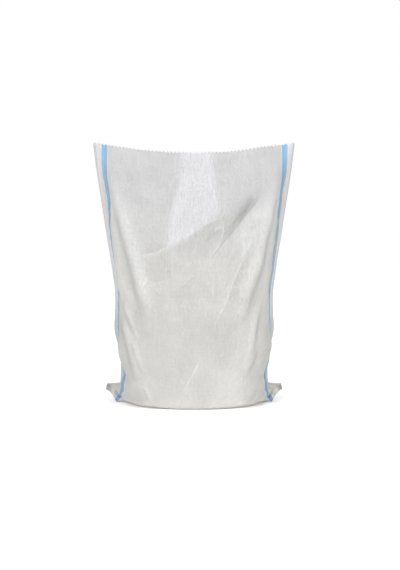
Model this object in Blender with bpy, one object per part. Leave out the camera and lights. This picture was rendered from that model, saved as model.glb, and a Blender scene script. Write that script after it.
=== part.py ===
"""Woven rubble sack, 550 x 850 mm flat, standing open and bulged on its sewn bottom.

Metres, +Z up. The origin is on the floor under the middle of the sack. The front faces -Y and the mouth is up.
Two solids: the woven sack, whose wall follows the cloth as it stands, and the thread of the bottom seam.
"""

import math

import bmesh
import bpy
from mathutils import Vector

# The sack as it stands. Its cloth, laid flat, is 0.550 wide and 0.850 long.
MOUTH_Z = 0.711  # the corners of the mouth
MOUTH_DIP = 0.029  # how far the rim hangs lower half way between its corners
DIP_FROM_Z = 0.560  # below this height the rings are level

WALL = 0.002
BASE_WALL = 0.004  # base cloth with the folded hem under it

# Each station of the body: height, half width over the side folds, half depth, and the two angles at which the
# cloth leaves a side fold and then runs on, in degrees from the line between the side folds.
STATIONS = (
    (0.000, 0.196, 0.1170, 50, 58),
    (0.004, 0.200, 0.1195, 56, 62),
    (0.014, 0.2025, 0.1210, 66, 68),
    (0.030, 0.2030, 0.121, 76, 76),
    (0.055, 0.2030, 0.121, 84, 80),
    (0.085, 0.2020, 0.121, 79, 76),
    (0.115, 0.2015, 0.120, 86, 86),
    (0.140, 0.2005, 0.119, 92, 94),
    (0.165, 0.2110, 0.119, 80, 90),
    (0.200, 0.2185, 0.120, 62, 80),
    (0.245, 0.2170, 0.122, 60, 78),
    (0.285, 0.2160, 0.121, 60, 81),
    (0.350, 0.2215, 0.115, 58, 81),
    (0.410, 0.2300, 0.106, 56, 80),
    (0.470, 0.2400, 0.095, 58, 76),
    (0.530, 0.2490, 0.083, 60, 66),
    (0.590, 0.2580, 0.071, 60, 50),
    (0.640, 0.2650, 0.061, 54, 34),
    (0.680, 0.2700, 0.052, 36, 22),
    (MOUTH_Z, 0.2730, 0.044, 8, 17),
)
FOLD_RUN = 0.017  # cloth from the side fold to where it turns to the second angle
FOLD_BEND = 0.008
SIDE_RUN = 0.045  # cloth from the side fold to where it starts to round into the panel
HALVINGS = 24
LEAST_CLOTH = 0.002  # half a panel's cloth is longer than its half width by at least this
MOST_CLOTH = 0.050  # and at most by its depth and this
ROUNDINGS = (0.02, 60.0)  # the softest and the hardest turn from the side into the panel
FINE_STEPS = 6  # steps along the cloth for each point that is kept

# The ears: the two corners of the flat sack, pressed flat, that stick out at the floor.
EAR_TOP_Z = 0.053
EAR_TIP_X = 0.243
CREASE_FIN = 0.003  # the pressed fold at each side, above the ears
FIN_HALF = 0.002  # half thickness of two layers of cloth pressed together
HEM_HALF = 0.003  # half thickness of the rolled hem
HEM_WIDTH = 0.012
HEM_SHARE = 0.45  # of the ear, at most
HEM_ROUND = 0.3  # of its half thickness, the hem's rounded edge

# The lower edge of an ear is the hem, which runs from the floor up to the tip.
EAR_EDGE = (
    (0.000, 0.203),
    (0.004, 0.2075),
    (0.010, 0.214),
    (0.021, 0.221),
    (0.031, 0.229),
    (0.036, EAR_TIP_X),
    (0.045, 0.241),
    (EAR_TOP_Z, 0.2385),
)
RING_HEIGHTS = (
    0.000, 0.004, 0.010, 0.021, 0.031, 0.036, 0.045, EAR_TOP_Z, 0.056, 0.080, 0.110, 0.140, 0.165, 0.200,
    0.235, 0.270, 0.300, 0.330, 0.360, 0.390, 0.420, 0.450, 0.480, 0.510, 0.540, 0.580, 0.630, 0.675, MOUTH_Z,
)

INSIDE_FOOT = (BASE_WALL, 0.014)  # the lowest rings of the inside
INSIDE_FROM_Z = 0.030  # above this the inside has the same rings as the outside

BODY_STEPS = 36  # spans across the front panel, and as many across the back
FIN_STEPS = (0.35, 0.70)  # points between the body and the hem of an ear

# Folds of the panels. A fold's cloth stands proud on the right of its run, from the first point to the last,
# and drops off on the left. Each has its height, the width over which that dies out, the run of the drop, how
# deep the dropped side lies as a share of the height, and its route over the panel, in x and z.
FRONT_FOLDS = (
    (0.0085, 0.034, 0.030, 1.2, (
        (0.037, 0.378), (0.052, 0.397), (0.075, 0.434), (0.093, 0.452), (0.122, 0.489), (0.145, 0.518),
        (0.180, 0.556),
    )),
    (0.0085, 0.034, 0.016, 0.55, (
        (0.222, 0.600), (0.206, 0.533), (0.191, 0.458), (0.174, 0.384), (0.148, 0.310), (0.125, 0.237),
        (0.110, 0.201),
    )),
    (0.0085, 0.034, 0.016, 0.55, (
        (-0.111, 0.200), (-0.136, 0.274), (-0.158, 0.347), (-0.176, 0.421), (-0.198, 0.495), (-0.206, 0.533),
        (-0.222, 0.600),
    )),
)
BACK_FOLDS = (
    (0.0070, 0.030, 0.030, 0.55, ((-0.150, 0.300), (-0.112, 0.360), (-0.060, 0.428), (-0.020, 0.470))),
    (0.0085, 0.034, 0.016, 0.55, (
        (0.216, 0.600), (0.200, 0.520), (0.178, 0.420), (0.158, 0.342), (0.131, 0.262), (0.112, 0.190),
    )),
    (0.0085, 0.034, 0.016, 0.55, (
        (-0.120, 0.205), (-0.136, 0.262), (-0.160, 0.330), (-0.172, 0.410), (-0.196, 0.500), (-0.214, 0.580),
    )),
)
FOLD_FADE = 0.3  # the share of a fold's run over which it rises, and dies out again
PROUD_POWER = 1.2  # how roundly the proud side dies out
SUNK_POWER = 1.3  # and the dropped side
SUNK_WIDTH = 0.8  # the dropped side's width as a share of the proud side's
EASE_RUN = 0.030  # beside a side fold, the panel's folds die out over this run

# The bottom seam thread, half sunk in a groove of the cloth.
THREAD_R = 0.0008
GROOVE_R = 0.0011
SEAM_FOLD_Y = 0.006  # under the sack the hem lies folded back, and the stitches this far behind its middle
SEAM_LIFT_X = 0.1955  # where the seam leaves the floor
SEAM_BEND = 0.0045  # half the run of the bend there
SEAM_SLOPE = 1.02
SEAM_TWIST = 0.028  # the run over which the hem turns from flat under the sack to upright in the ear
SEAM_END_X = 0.238
SEAM_STEPS = 28
FLOOR_GAP = 0.00005
TUBE_RESOLUTION = 1
SAME_POINT = 0.00002

CLOTH_COLOUR = (0.68, 0.68, 0.66, 1.0)
CLOTH_ROUGHNESS = 0.42
THREAD_COLOUR = (0.80, 0.80, 0.78, 1.0)
THREAD_ROUGHNESS = 0.6
SHARP_ANGLE = 40


def clear_objects():
    for thing in list(bpy.data.objects):
        bpy.data.objects.remove(thing, do_unlink=True)


def material(name, colour, roughness):
    made = bpy.data.materials.new(name)
    made.use_nodes = True
    shader = made.node_tree.nodes["Principled BSDF"]
    shader.inputs["Base Color"].default_value = colour
    shader.inputs["Roughness"].default_value = roughness
    shader.inputs["Metallic"].default_value = 0.0
    made.diffuse_color = colour
    return made


def between(rows, key):
    """The row's other columns at key, in a straight line from one row to the next."""
    key = min(max(key, rows[0][0]), rows[-1][0])
    for low, high in zip(rows, rows[1:]):
        if key <= high[0]:
            t = (key - low[0]) / (high[0] - low[0])
            return tuple(a + (b - a) * t for a, b in zip(low[1:], high[1:]))
    return rows[-1][1:]


def smooth(share):
    share = min(max(share, 0.0), 1.0)
    return share * share * (3 - 2 * share)


def side_reach(z):
    """Half the width over the ears, or over the pressed side folds above them."""
    if z <= EAR_TOP_Z:
        return between(EAR_EDGE, z)[0]
    return between(STATIONS, z)[0]


def rim_drop(z, x, half_width):
    share = max(0.0, (z - DIP_FROM_Z) / (MOUTH_Z - DIP_FROM_Z))
    return MOUTH_DIP * share * max(0.0, 1 - (x / half_width) ** 2)


def outline(width, fold, side, length, rounding):
    """The cloth from a side fold to the middle of the panel, in even steps along it."""
    count = BODY_STEPS // 2 * FINE_STEPS
    step = length / count
    x, y = width, 0.0
    points = [(x, y)]
    for i in range(count):
        along = (i + 0.5) * step
        turned = min(max((along - FOLD_RUN) / FOLD_BEND, 0.0), 1.0)
        left = 1 - max(0.0, (along - SIDE_RUN) / (length - SIDE_RUN))
        angle = math.radians((fold + (side - fold) * turned) * left**rounding)
        x -= math.cos(angle) * step
        y += math.sin(angle) * step
        if (i + 1) % FINE_STEPS == 0:
            points.append((x, y))
    return points


def solved_outline(width, depth, fold, side):
    """The outline that ends in the middle of the panel at the given depth, found by halving."""
    short, long = width + LEAST_CLOTH, width + depth + MOST_CLOTH
    for _ in range(HALVINGS):
        length = (short + long) / 2
        soft, hard = ROUNDINGS
        for _ in range(HALVINGS):
            rounding = math.sqrt(soft * hard)
            points = outline(width, fold, side, length, rounding)
            if points[-1][0] > 0:
                soft = rounding
            else:
                hard = rounding
        if points[-1][1] > depth:
            long = length
        else:
            short = length
    return points


def panel(points):
    """The whole panel from the left side fold to the right one, from one half of it."""
    half = [(max(x, 0.0), y) for x, y in points]
    half[-1] = (0.0, half[-1][1])
    return [(-x, y) for x, y in half] + half[-2::-1]


def fold_relief(fold, x, z):
    """How far a fold lifts its panel at x and z."""
    height, width, drop, sink, route = fold
    lengths = [math.dist(a, b) for a, b in zip(route, route[1:])]
    passed = 0.0
    best = None
    for (ax, az), (bx, bz), length in zip(route, route[1:], lengths):
        ux, uz = (bx - ax) / length, (bz - az) / length
        t = min(max((x - ax) * ux + (z - az) * uz, 0.0), length)
        dx, dz = x - ax - t * ux, z - az - t * uz
        distance = math.hypot(dx, dz)
        if best is None or distance < best[0]:
            best = (distance, math.copysign(distance, dx * uz - dz * ux), (passed + t) / sum(lengths))
        passed += length
    _, signed, share = best
    strength = smooth(share / FOLD_FADE) * smooth((1 - share) / FOLD_FADE)
    proud = math.exp(-((max(signed, 0.0) / width) ** PROUD_POWER))
    sunk = -sink * math.exp(-((max(-signed - drop, 0.0) / (width * SUNK_WIDTH)) ** SUNK_POWER))
    return height * strength * (proud + (sunk - proud) * smooth(-signed / drop))


def folded(points, folds, z):
    """The panel's points at height z, lifted by its folds."""
    reach = abs(points[0][0])
    made = []
    for x, y in points:
        ease = min(1.0, (reach - abs(x)) / EASE_RUN)
        made.append((x, y + ease * sum(fold_relief(fold, x, z) for fold in folds)))
    return made


def outer_half(z, folds, outlines):
    """A panel's points from the left tip to the right one, at height z, in front of the middle plane."""
    width = between(STATIONS, z)[0] - CREASE_FIN
    reach = side_reach(z)
    fin = reach - width
    hem = min(HEM_WIDTH, fin * HEM_SHARE)
    hem_half = HEM_HALF if z <= EAR_TOP_Z else FIN_HALF
    points = [(x, max(y, FIN_HALF)) for x, y in folded(outlines[z], folds, z)]
    sides = [(width + (fin - hem) * share, FIN_HALF) for share in FIN_STEPS]
    sides.append((reach - hem, hem_half))
    sides.append((reach - hem_half * HEM_ROUND, hem_half))
    left = [(-x, y) for x, y in reversed(sides)]
    row = [(-reach, 0.0)] + left + points + sides + [(reach, 0.0)]
    return [(x, y, z - rim_drop(z, min(abs(x), width), width)) for x, y in row]


def inner_half(z, folds, outlines, count):
    """The inside of a panel, with as many points as the outside."""
    width = abs(outlines[z][0][0])
    points = folded(outlines[z], folds, z)
    row = []
    for k in range(count):
        place = (len(points) - 1) * k / (count - 1)
        i = min(int(place), len(points) - 2)
        t = place - i
        x, y = (a + (b - a) * t for a, b in zip(points[i], points[i + 1]))
        row.append((x, max(y, 0.0), z - rim_drop(z, abs(x), width)))
    return row


def ring(bm, front_row, back_row):
    """A closed ring of vertices: the front half, and then the back half the other way."""
    front = [bm.verts.new((x, -y, z)) for x, y, z in front_row]
    back = [bm.verts.new((x, y, z)) for x, y, z in reversed(back_row[1:-1])]
    return front + back


def join_rings(bm, lower, upper):
    count = len(lower)
    for i in range(count):
        j = (i + 1) % count
        bm.faces.new((lower[i], lower[j], upper[j], upper[i]))


def cap(bm, loop, up):
    """Closes a ring with strips between its front half and its back half."""
    count = len(loop)
    half = count // 2
    for i in range(half):
        a, b = loop[i], loop[i + 1]
        c, d = loop[(count - i - 1) % count], loop[(count - i) % count]
        corners = [a, b, c] if d is a else ([a, b, d] if b is c else [a, b, c, d])
        bm.faces.new(corners if up else corners[::-1])


def outlines_at(heights, inset):
    """The smooth panel at each height, outside (inset 0) or inside (inset the wall's thickness)."""
    made = {}
    for z in heights:
        width, depth, fold, side = between(STATIONS, z)
        width -= CREASE_FIN + inset / math.sin(math.radians(fold))
        made[z] = panel(solved_outline(width, depth - inset, fold, side))
    return made


def sack_mesh():
    bm = bmesh.new()
    inside_heights = [*INSIDE_FOOT, *(z for z in RING_HEIGHTS if z > INSIDE_FROM_Z)]
    outside = outlines_at(RING_HEIGHTS, 0.0)
    inside = outlines_at(inside_heights, WALL)
    both = (FRONT_FOLDS, BACK_FOLDS)
    outer = [ring(bm, *(outer_half(z, folds, outside) for folds in both)) for z in RING_HEIGHTS]
    count = len(outer[0]) // 2 + 1
    inner = [ring(bm, *(inner_half(z, folds, inside, count) for folds in both)) for z in inside_heights]
    for lower, upper in zip(outer, outer[1:]):
        join_rings(bm, lower, upper)
    for lower, upper in zip(inner, inner[1:]):
        join_rings(bm, upper, lower)
    join_rings(bm, outer[-1], inner[-1])
    cap(bm, outer[0], False)
    cap(bm, inner[0], True)
    bmesh.ops.recalc_face_normals(bm, faces=bm.faces)
    mesh = bpy.data.meshes.new("woven_sack")
    bm.to_mesh(mesh)
    bm.free()
    return mesh


def seam_point(x):
    """The point of the seam at x: along the floor, then up the hem of an ear."""
    out = abs(x)
    lift = max(0.0, out - SEAM_LIFT_X)
    if lift < 2 * SEAM_BEND:
        rise = lift**2 / (4 * SEAM_BEND)
    else:
        rise = lift - SEAM_BEND
    fold = smooth((SEAM_LIFT_X - out) / SEAM_TWIST)
    y = SEAM_FOLD_Y * fold - HEM_HALF * (1 - fold)
    return Vector((x, y, THREAD_R + FLOOR_GAP + SEAM_SLOPE * rise))


def seam_route():
    """The seam from the left tip to the right one, with points only where it bends."""
    start = SEAM_LIFT_X - SEAM_TWIST
    span = SEAM_END_X - start
    right = [seam_point(start + span * i / SEAM_STEPS) for i in range(SEAM_STEPS + 1)]
    left = [Vector((-p.x, p.y, p.z)) for p in reversed(right)]
    return left + right


def tube(name, points, radius):
    """A round tube along the points, as a closed mesh."""
    curve = bpy.data.curves.new(name, "CURVE")
    curve.dimensions = "3D"
    curve.bevel_depth = radius
    curve.bevel_resolution = TUBE_RESOLUTION
    curve.use_fill_caps = True
    spline = curve.splines.new("POLY")
    spline.points.add(len(points) - 1)
    for point, place in zip(spline.points, points):
        point.co = (*place, 1.0)
    route = bpy.data.objects.new(name + "_route", curve)
    mesh = bpy.data.meshes.new_from_object(route)
    bpy.data.objects.remove(route)
    bm = bmesh.new()
    bm.from_mesh(mesh)
    bmesh.ops.remove_doubles(bm, verts=bm.verts, dist=SAME_POINT)
    bmesh.ops.recalc_face_normals(bm, faces=bm.faces)
    bm.to_mesh(mesh)
    bm.free()
    mesh.name = name
    made = bpy.data.objects.new(name, mesh)
    bpy.context.collection.objects.link(made)
    return made


def add_sack():
    sack = bpy.data.objects.new("woven_sack", sack_mesh())
    bpy.context.collection.objects.link(sack)
    sack.data.materials.append(material("woven_tape", CLOTH_COLOUR, CLOTH_ROUGHNESS))
    sack.data.shade_smooth()
    sack.data.set_sharp_from_angle(angle=math.radians(SHARP_ANGLE))
    return sack


def add_seam(sack):
    points = seam_route()
    thread = tube("bottom_seam_thread", points, THREAD_R)
    thread.data.materials.append(material("sewing_thread", THREAD_COLOUR, THREAD_ROUGHNESS))
    clear = GROOVE_R - THREAD_R
    first = points[0] + (points[0] - points[1]).normalized() * clear
    last = points[-1] + (points[-1] - points[-2]).normalized() * clear
    groove = tube("seam_groove", [first] + points[1:-1] + [last], GROOVE_R)
    groove.hide_render = True
    groove.display_type = "WIRE"
    cut = sack.modifiers.new("seam_groove", "BOOLEAN")
    cut.operation = "DIFFERENCE"
    cut.object = groove
    cut.solver = "EXACT"
    return thread


def main():
    clear_objects()
    sack = add_sack()
    add_seam(sack)


main()
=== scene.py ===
"""Looks of a woven polypropylene rubble sack, standing open and bulged on its sewn bottom.

Metres, +Z up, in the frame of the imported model: the front faces -Y and the mouth is up. The cloth starts as
the flat tube that the sack was cut from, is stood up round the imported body, creased, and given its weave.
"""

import logging
import math
from dataclasses import dataclass, field
from enum import Enum

import bmesh
import bpy
import numpy as np
from mathutils import Matrix, Vector, noise


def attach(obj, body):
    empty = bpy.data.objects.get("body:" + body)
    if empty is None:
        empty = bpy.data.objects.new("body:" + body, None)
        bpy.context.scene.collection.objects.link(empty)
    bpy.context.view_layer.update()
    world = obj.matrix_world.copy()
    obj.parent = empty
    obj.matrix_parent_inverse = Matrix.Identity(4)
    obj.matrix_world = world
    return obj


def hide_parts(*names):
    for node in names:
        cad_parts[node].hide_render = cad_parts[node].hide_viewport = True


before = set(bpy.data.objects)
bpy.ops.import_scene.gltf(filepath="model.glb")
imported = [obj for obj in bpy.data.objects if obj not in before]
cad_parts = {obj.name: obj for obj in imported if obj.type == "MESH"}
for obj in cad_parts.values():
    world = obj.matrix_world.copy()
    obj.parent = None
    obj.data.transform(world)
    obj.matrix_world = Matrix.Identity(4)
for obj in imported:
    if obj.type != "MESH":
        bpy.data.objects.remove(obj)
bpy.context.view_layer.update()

SACK_NODE = "woven_sack"
THREAD_NODE = "bottom_seam_thread"
BODY = "root"
CLOTH_SLOT = "woven_polypropylene"
THREAD_SLOT = "sewing_thread"
UV_NAME = "Cloth"
FLAT_NAME = "flat"
# Sharp folds turn white under stress and carry a painted highlight; the proud sides of laps get a painted
# highlight.
WHITE_AND_HIGHLIGHT_NAME = "whitening_and_painted_highlight"
# The tone is painted light and shade: in patches of the front, in the lee of folds, beside the stripes and on
# the hem.
PAINTED_TONE_NAME = "tone"
CRUSHED_NAME = "crushed"
STRIPE_NAME = "from_stripe"
BAND_NAME = "in_band"
MARKS = (WHITE_AND_HIGHLIGHT_NAME, PAINTED_TONE_NAME, CRUSHED_NAME, BAND_NAME, STRIPE_NAME)
MM = 0.001

log = logging.getLogger("rubble_sack")


def linear(hex_colour: str) -> tuple[float, float, float, float]:
    """Turns an sRGB colour into the linear one that a shader takes.

    Args:
        hex_colour: Six hex digits, such as "d8d8d6".

    Returns:
        Red, green, blue and an alpha of 1.
    """
    parts = [int(hex_colour[i : i + 2], 16) / 255 for i in (0, 2, 4)]
    red, green, blue = (p / 12.92 if p <= 0.04045 else ((p + 0.055) / 1.055) ** 2.4 for p in parts)
    return red, green, blue, 1.0


def smooth_step(low: float, high: float, value: np.ndarray) -> np.ndarray:
    """Rises from 0 at low to 1 at high, level at both ends."""
    share = np.clip((value - low) / (high - low), 0.0, 1.0)
    return share * share * (3 - 2 * share)


def smooth_rows(keys: np.ndarray, rows: np.ndarray, at: np.ndarray) -> np.ndarray:
    """Draws one smooth curve through each column of a table.

    Args:
        keys: The key of each row, rising.
        rows: The table, a row for each key.
        at: The keys to read it at.

    Returns:
        A row for each key in at.
    """
    slopes = np.gradient(rows, keys, axis=0)
    i = np.clip(np.searchsorted(keys, at, side="right") - 1, 0, len(keys) - 2)
    span = (keys[i + 1] - keys[i])[:, None]
    t = ((at - keys[i]) / (keys[i + 1] - keys[i]))[:, None]
    low, high = rows[i], rows[i + 1]
    start, end = slopes[i] * span, slopes[i + 1] * span
    return (
        low * (2 * t**3 - 3 * t**2 + 1)
        + start * (t**3 - 2 * t**2 + t)
        + high * (3 * t**2 - 2 * t**3)
        + end * (t**3 - t**2)
    )


def add_node(
    tree: bpy.types.NodeTree, kind: str, inputs: dict | None = None, output: int | str = 0, **settings
) -> bpy.types.NodeSocket:
    """Adds a node with its settings and links.

    Args:
        tree: The node tree.
        kind: The node's type, without its ShaderNode prefix.
        inputs: For each input's name or number, the socket that feeds it or its value.
        output: The name or number of the output to return.
        **settings: The node's own settings.

    Returns:
        That output.
    """
    node = tree.nodes.new("ShaderNode" + kind)
    for name, value in settings.items():
        setattr(node, name, value)
    for key, value in (inputs or {}).items():
        if isinstance(value, bpy.types.NodeSocket):
            tree.links.new(value, node.inputs[key])
        else:
            node.inputs[key].default_value = value
    return node.outputs[output]


def make_object(name: str, bm: bmesh.types.BMesh) -> bpy.types.Object:
    """Makes an object of a mesh and puts it in the scene.

    Args:
        name: The object's name.
        bm: Its mesh, which is freed.

    Returns:
        The object.
    """
    mesh = bpy.data.meshes.new(name)
    bm.to_mesh(mesh)
    bm.free()
    ob = bpy.data.objects.new(name, mesh)
    bpy.context.collection.objects.link(ob)
    return ob


def make_material(name: str) -> tuple[bpy.types.Material, bpy.types.NodeTree, bpy.types.ShaderNode]:
    """Makes a new material.

    Args:
        name: Its name.

    Returns:
        The material, its nodes and its main shader.
    """
    mat = bpy.data.materials.new(name)
    mat.use_nodes = True
    return mat, mat.node_tree, mat.node_tree.nodes["Principled BSDF"]


class Side(Enum):
    """The two panels of the flat tube."""

    FRONT = -1
    BACK = 1


@dataclass(frozen=True)
class Station:
    """A level of the standing body.

    Its cloth leaves the side crease at the fin angle and soon turns to the side angle, both in degrees from
    the line between the creases. From there it rounds into the middle of the panel.
    """

    z: float
    half_width: float
    half_depth: float
    fin: float
    side: float

    def outline(self, length: float, rounding: float, count: int) -> tuple[np.ndarray, np.ndarray]:
        """Follows the cloth from the crease to the middle of the panel.

        Args:
            length: The cloth between them.
            rounding: How soon the side turns into the front.
            count: How many points to return, evenly spaced along the cloth.

        Returns:
            Their x and their depth.
        """
        fin_run, fin_bend, side_run = 0.017, 0.008, 0.045
        along = np.linspace(0, length, count)
        step = along[1]
        angle = self.fin + (self.side - self.fin) * np.clip((along - fin_run) / fin_bend, 0, 1)
        left = 1 - np.clip((along - side_run) / (length - side_run), 0, 1)
        angle = np.radians(angle * left**rounding)
        x = self.half_width - np.concatenate([[0], np.cumsum(np.cos(angle[:-1]))]) * step
        return x, np.concatenate([[0], np.cumsum(np.sin(angle[:-1]))]) * step

    def solve(self, count: int) -> tuple[np.ndarray, np.ndarray]:
        """Finds the outline that has the station's width and depth, by halving.

        Args:
            count: How many points the outline gets.

        Returns:
            Their x and their depth.
        """
        halvings, least_slack, most_slack = 30, 0.002, 0.05
        softest, hardest = 0.02, 60.0
        shortest = self.half_width + least_slack
        longest = self.half_width + self.half_depth + most_slack
        for _ in range(halvings):
            length = (shortest + longest) / 2
            soft, hard = softest, hardest
            for _ in range(halvings):
                rounding = math.sqrt(soft * hard)
                x, y = self.outline(length, rounding, count)
                soft, hard = (rounding, hard) if x[-1] > 0 else (soft, rounding)
            shortest, longest = (shortest, length) if y[-1] > self.half_depth else (length, longest)
        return x, y


@dataclass(frozen=True)
class EarPoint:
    """A column of the ear: its distance from the side crease, and where it starts on each line of the hem."""

    from_crease: float
    low_x: float
    low_z: float
    high_x: float
    high_z: float


@dataclass
class SackForm:
    """How the flat tube stands: from a cloth point to its place.

    Every cloth point is given by how far it lies across its panel, from -0.275 at the left crease to 0.275 at
    the right one, and how far up from the bottom seam.
    """

    panel_width: float = 0.550
    length: float = 0.802  # cloth from the seam to the rim, up the middle of a panel
    mouth_z: float = 0.713
    corner_drop: float = 0.0030  # the whole mouth, with its corners, sags by this
    mouth_dip: float = 0.029  # and its middle by this as well
    dip_from: float = 0.560  # the height where both start
    ear_top_z: float = 0.055
    ear_half: float = 0.0009  # half of the two layers pressed together in an ear
    elbow: tuple[float, float, float] = (0.7, 0.85, 0.1)  # where an ear's cloth turns, on its way in
    hem: float = 0.016
    foot_gap: float = 0.0008  # how far above the floor the foot's edge lies
    foot_slack: float = 0.004  # cloth that the turn from the floor to the body takes up
    under: tuple[float, float] = (0.046, 0.080)  # how far in from a crease the ear becomes the flat bottom
    # The middles of the blue stripes: how far up the cloth, and how far in from the crease on the left and on
    # the right.
    stripe_ways: tuple[tuple[float, float, float], ...] = (
        (0.000, 0.0460, 0.0450), (0.040, 0.0460, 0.0450), (0.078, 0.0470, 0.0450), (0.095, 0.0520, 0.0500),
        (0.115, 0.0565, 0.0535), (0.145, 0.0560, 0.0530), (0.172, 0.0510, 0.0490), (0.205, 0.0360, 0.0360),
        (0.240, 0.0310, 0.0310), (0.280, 0.0245, 0.0245), (0.320, 0.0265, 0.0245), (0.370, 0.0280, 0.0230),
        (0.425, 0.0255, 0.0195), (0.480, 0.0255, 0.0215), (0.530, 0.0325, 0.0275), (0.570, 0.0385, 0.0325),
        (0.610, 0.0415, 0.0345), (0.660, 0.0390, 0.0345), (0.720, 0.0345, 0.0310), (0.760, 0.0330, 0.0290),
        (0.800, 0.0315, 0.0265),
    )
    stripe_gather: float = 0.5  # by what share the stripes are gathered in the ears
    gather_run: tuple[float, float] = (0.035, 0.115)  # how far up the gathering ends
    stripe_spread: float = 0.32  # by what share they are spread over the lower belly
    spread_run: tuple[float, float, float, float] = (0.060, 0.095, 0.180, 0.230)  # how far up this is
    sway: float = 0.0022  # how far the ears wave out of their plane
    sway_waves: float = 240  # the waves, in radians for each metre
    sway_run: tuple[float, float] = (0.020, 0.052)  # how far in from a crease they die out
    stations: tuple[Station, ...] = (
        Station(0.000, 0.1960, 0.1170, 50, 58),
        Station(0.004, 0.2000, 0.1195, 56, 62),
        Station(0.014, 0.2025, 0.1210, 66, 68),
        Station(0.030, 0.2030, 0.1210, 76, 76),
        Station(0.055, 0.2030, 0.1210, 84, 80),
        Station(0.085, 0.2020, 0.1210, 79, 76),
        Station(0.115, 0.2015, 0.1200, 86, 86),
        Station(0.140, 0.2005, 0.1190, 92, 94),
        Station(0.165, 0.2110, 0.1190, 80, 90),
        Station(0.200, 0.2185, 0.1200, 62, 80),
        Station(0.245, 0.2170, 0.1220, 60, 78),
        Station(0.285, 0.2160, 0.1210, 60, 81),
        Station(0.350, 0.2215, 0.1150, 58, 81),
        Station(0.410, 0.2300, 0.1060, 56, 80),
        Station(0.470, 0.2400, 0.0950, 58, 76),
        Station(0.530, 0.2490, 0.0830, 60, 66),
        Station(0.590, 0.2580, 0.0710, 60, 50),
        Station(0.640, 0.2650, 0.0610, 54, 34),
        Station(0.680, 0.2700, 0.0520, 36, 22),
        Station(0.713, 0.2730, 0.0440, 8, 17),
    )
    ear: tuple[EarPoint, ...] = (
        EarPoint(0.000, 0.2430, 0.0360, 0.2385, 0.0530),
        EarPoint(0.011, 0.2320, 0.0345, 0.2300, 0.0455),
        EarPoint(0.025, 0.2225, 0.0240, 0.2180, 0.0345),
        EarPoint(0.038, 0.2165, 0.0130, 0.2110, 0.0230),
        EarPoint(0.048, 0.2110, 0.0055, 0.2050, 0.0150),
        EarPoint(0.056, 0.2045, 0.0040, 0.2000, 0.0100),
        EarPoint(0.064, 0.1955, 0.0040, 0.1930, 0.0055),
        EarPoint(0.275, 0.0000, 0.0040, 0.0000, 0.0040),
    )
    levels: int = 240  # how many levels are worked out, and how many points on each
    shares: int = 200
    _x: np.ndarray = field(init=False, repr=False)
    _y: np.ndarray = field(init=False, repr=False)

    def __post_init__(self) -> None:
        """Works out every level's outline once."""
        keys = np.array([station.z for station in self.stations])
        solved = [station.solve(self.shares) for station in self.stations]
        heights = np.linspace(0, self.mouth_z, self.levels)
        self._x, self._y = (smooth_rows(keys, np.array([s[k] for s in solved]), heights) for k in (0, 1))

    @property
    def half_panel(self) -> float:
        """From the middle of a panel to its crease."""
        return self.panel_width / 2

    def from_stripe(self, across: np.ndarray, up: np.ndarray) -> np.ndarray:
        """Measures cloth points from the middle of their blue stripe.

        Args:
            across: How far they lie across their panel.
            up: How far they lie up from the bottom seam.

        Returns:
            How far they lie inward of it, stretched where the stripe is gathered and shrunk where it is
            spread.
        """
        ways = np.array(self.stripe_ways)
        left, right = smooth_rows(ways[:, 0], ways[:, 1:], up).T
        gathered = 1 + self.stripe_gather * (1 - smooth_step(*self.gather_run, up))
        begin, full, until, end = self.spread_run
        spread = self.stripe_spread * smooth_step(begin, full, up) * (1 - smooth_step(until, end, up))
        return (self.half_panel - np.abs(across) - np.where(across < 0, left, right)) * (gathered - spread)

    def wall(self, across: np.ndarray, z: np.ndarray) -> tuple[np.ndarray, np.ndarray]:
        """Finds where the cloth lies on the wall at a height.

        Args:
            across: How far the cloth points lie across their panel.
            z: Their heights.

        Returns:
            Their x, and how far they lie in front of or behind the middle plane.
        """
        level = np.clip(z / self.mouth_z, 0.0, 1.0) * (self.levels - 1)
        share = np.clip(1 - np.abs(across) / self.half_panel, 0.0, 1.0) * (self.shares - 1)
        i = np.minimum(level.astype(int), self.levels - 2)
        j = np.minimum(share.astype(int), self.shares - 2)
        u, v = level - i, share - j
        x, y = (
            (t[i, j] * (1 - v) + t[i, j + 1] * v) * (1 - u)
            + (t[i + 1, j] * (1 - v) + t[i + 1, j + 1] * v) * u
            for t in (self._x, self._y)
        )
        return np.copysign(x, across), y

    def hem_lines(self, across: np.ndarray) -> tuple[np.ndarray, np.ndarray]:
        """Finds the hem's lower edge and its upper line, which lie in the plane of the ears.

        Args:
            across: How far the points lie across their panel.

        Returns:
            Their places on the edge and on the line.
        """
        rows = np.array([(p.from_crease, p.low_x, p.low_z, p.high_x, p.high_z) for p in self.ear])
        from_crease = self.half_panel - np.abs(across)
        low_x, low_z, high_x, high_z = (np.interp(from_crease, rows[:, 0], rows[:, k]) for k in (1, 2, 3, 4))
        free = 1 - smooth_step(*self.sway_run, from_crease)
        turns = (0.6, 1.7)  # the line waves a little ahead of the edge
        y_low, y_high = (self.sway * free * np.sin(across * self.sway_waves + turn) for turn in turns)
        low = np.stack([np.copysign(low_x, across), y_low, low_z], axis=-1)
        high = np.stack([np.copysign(high_x, across), y_high, high_z], axis=-1)
        return low, high

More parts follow.
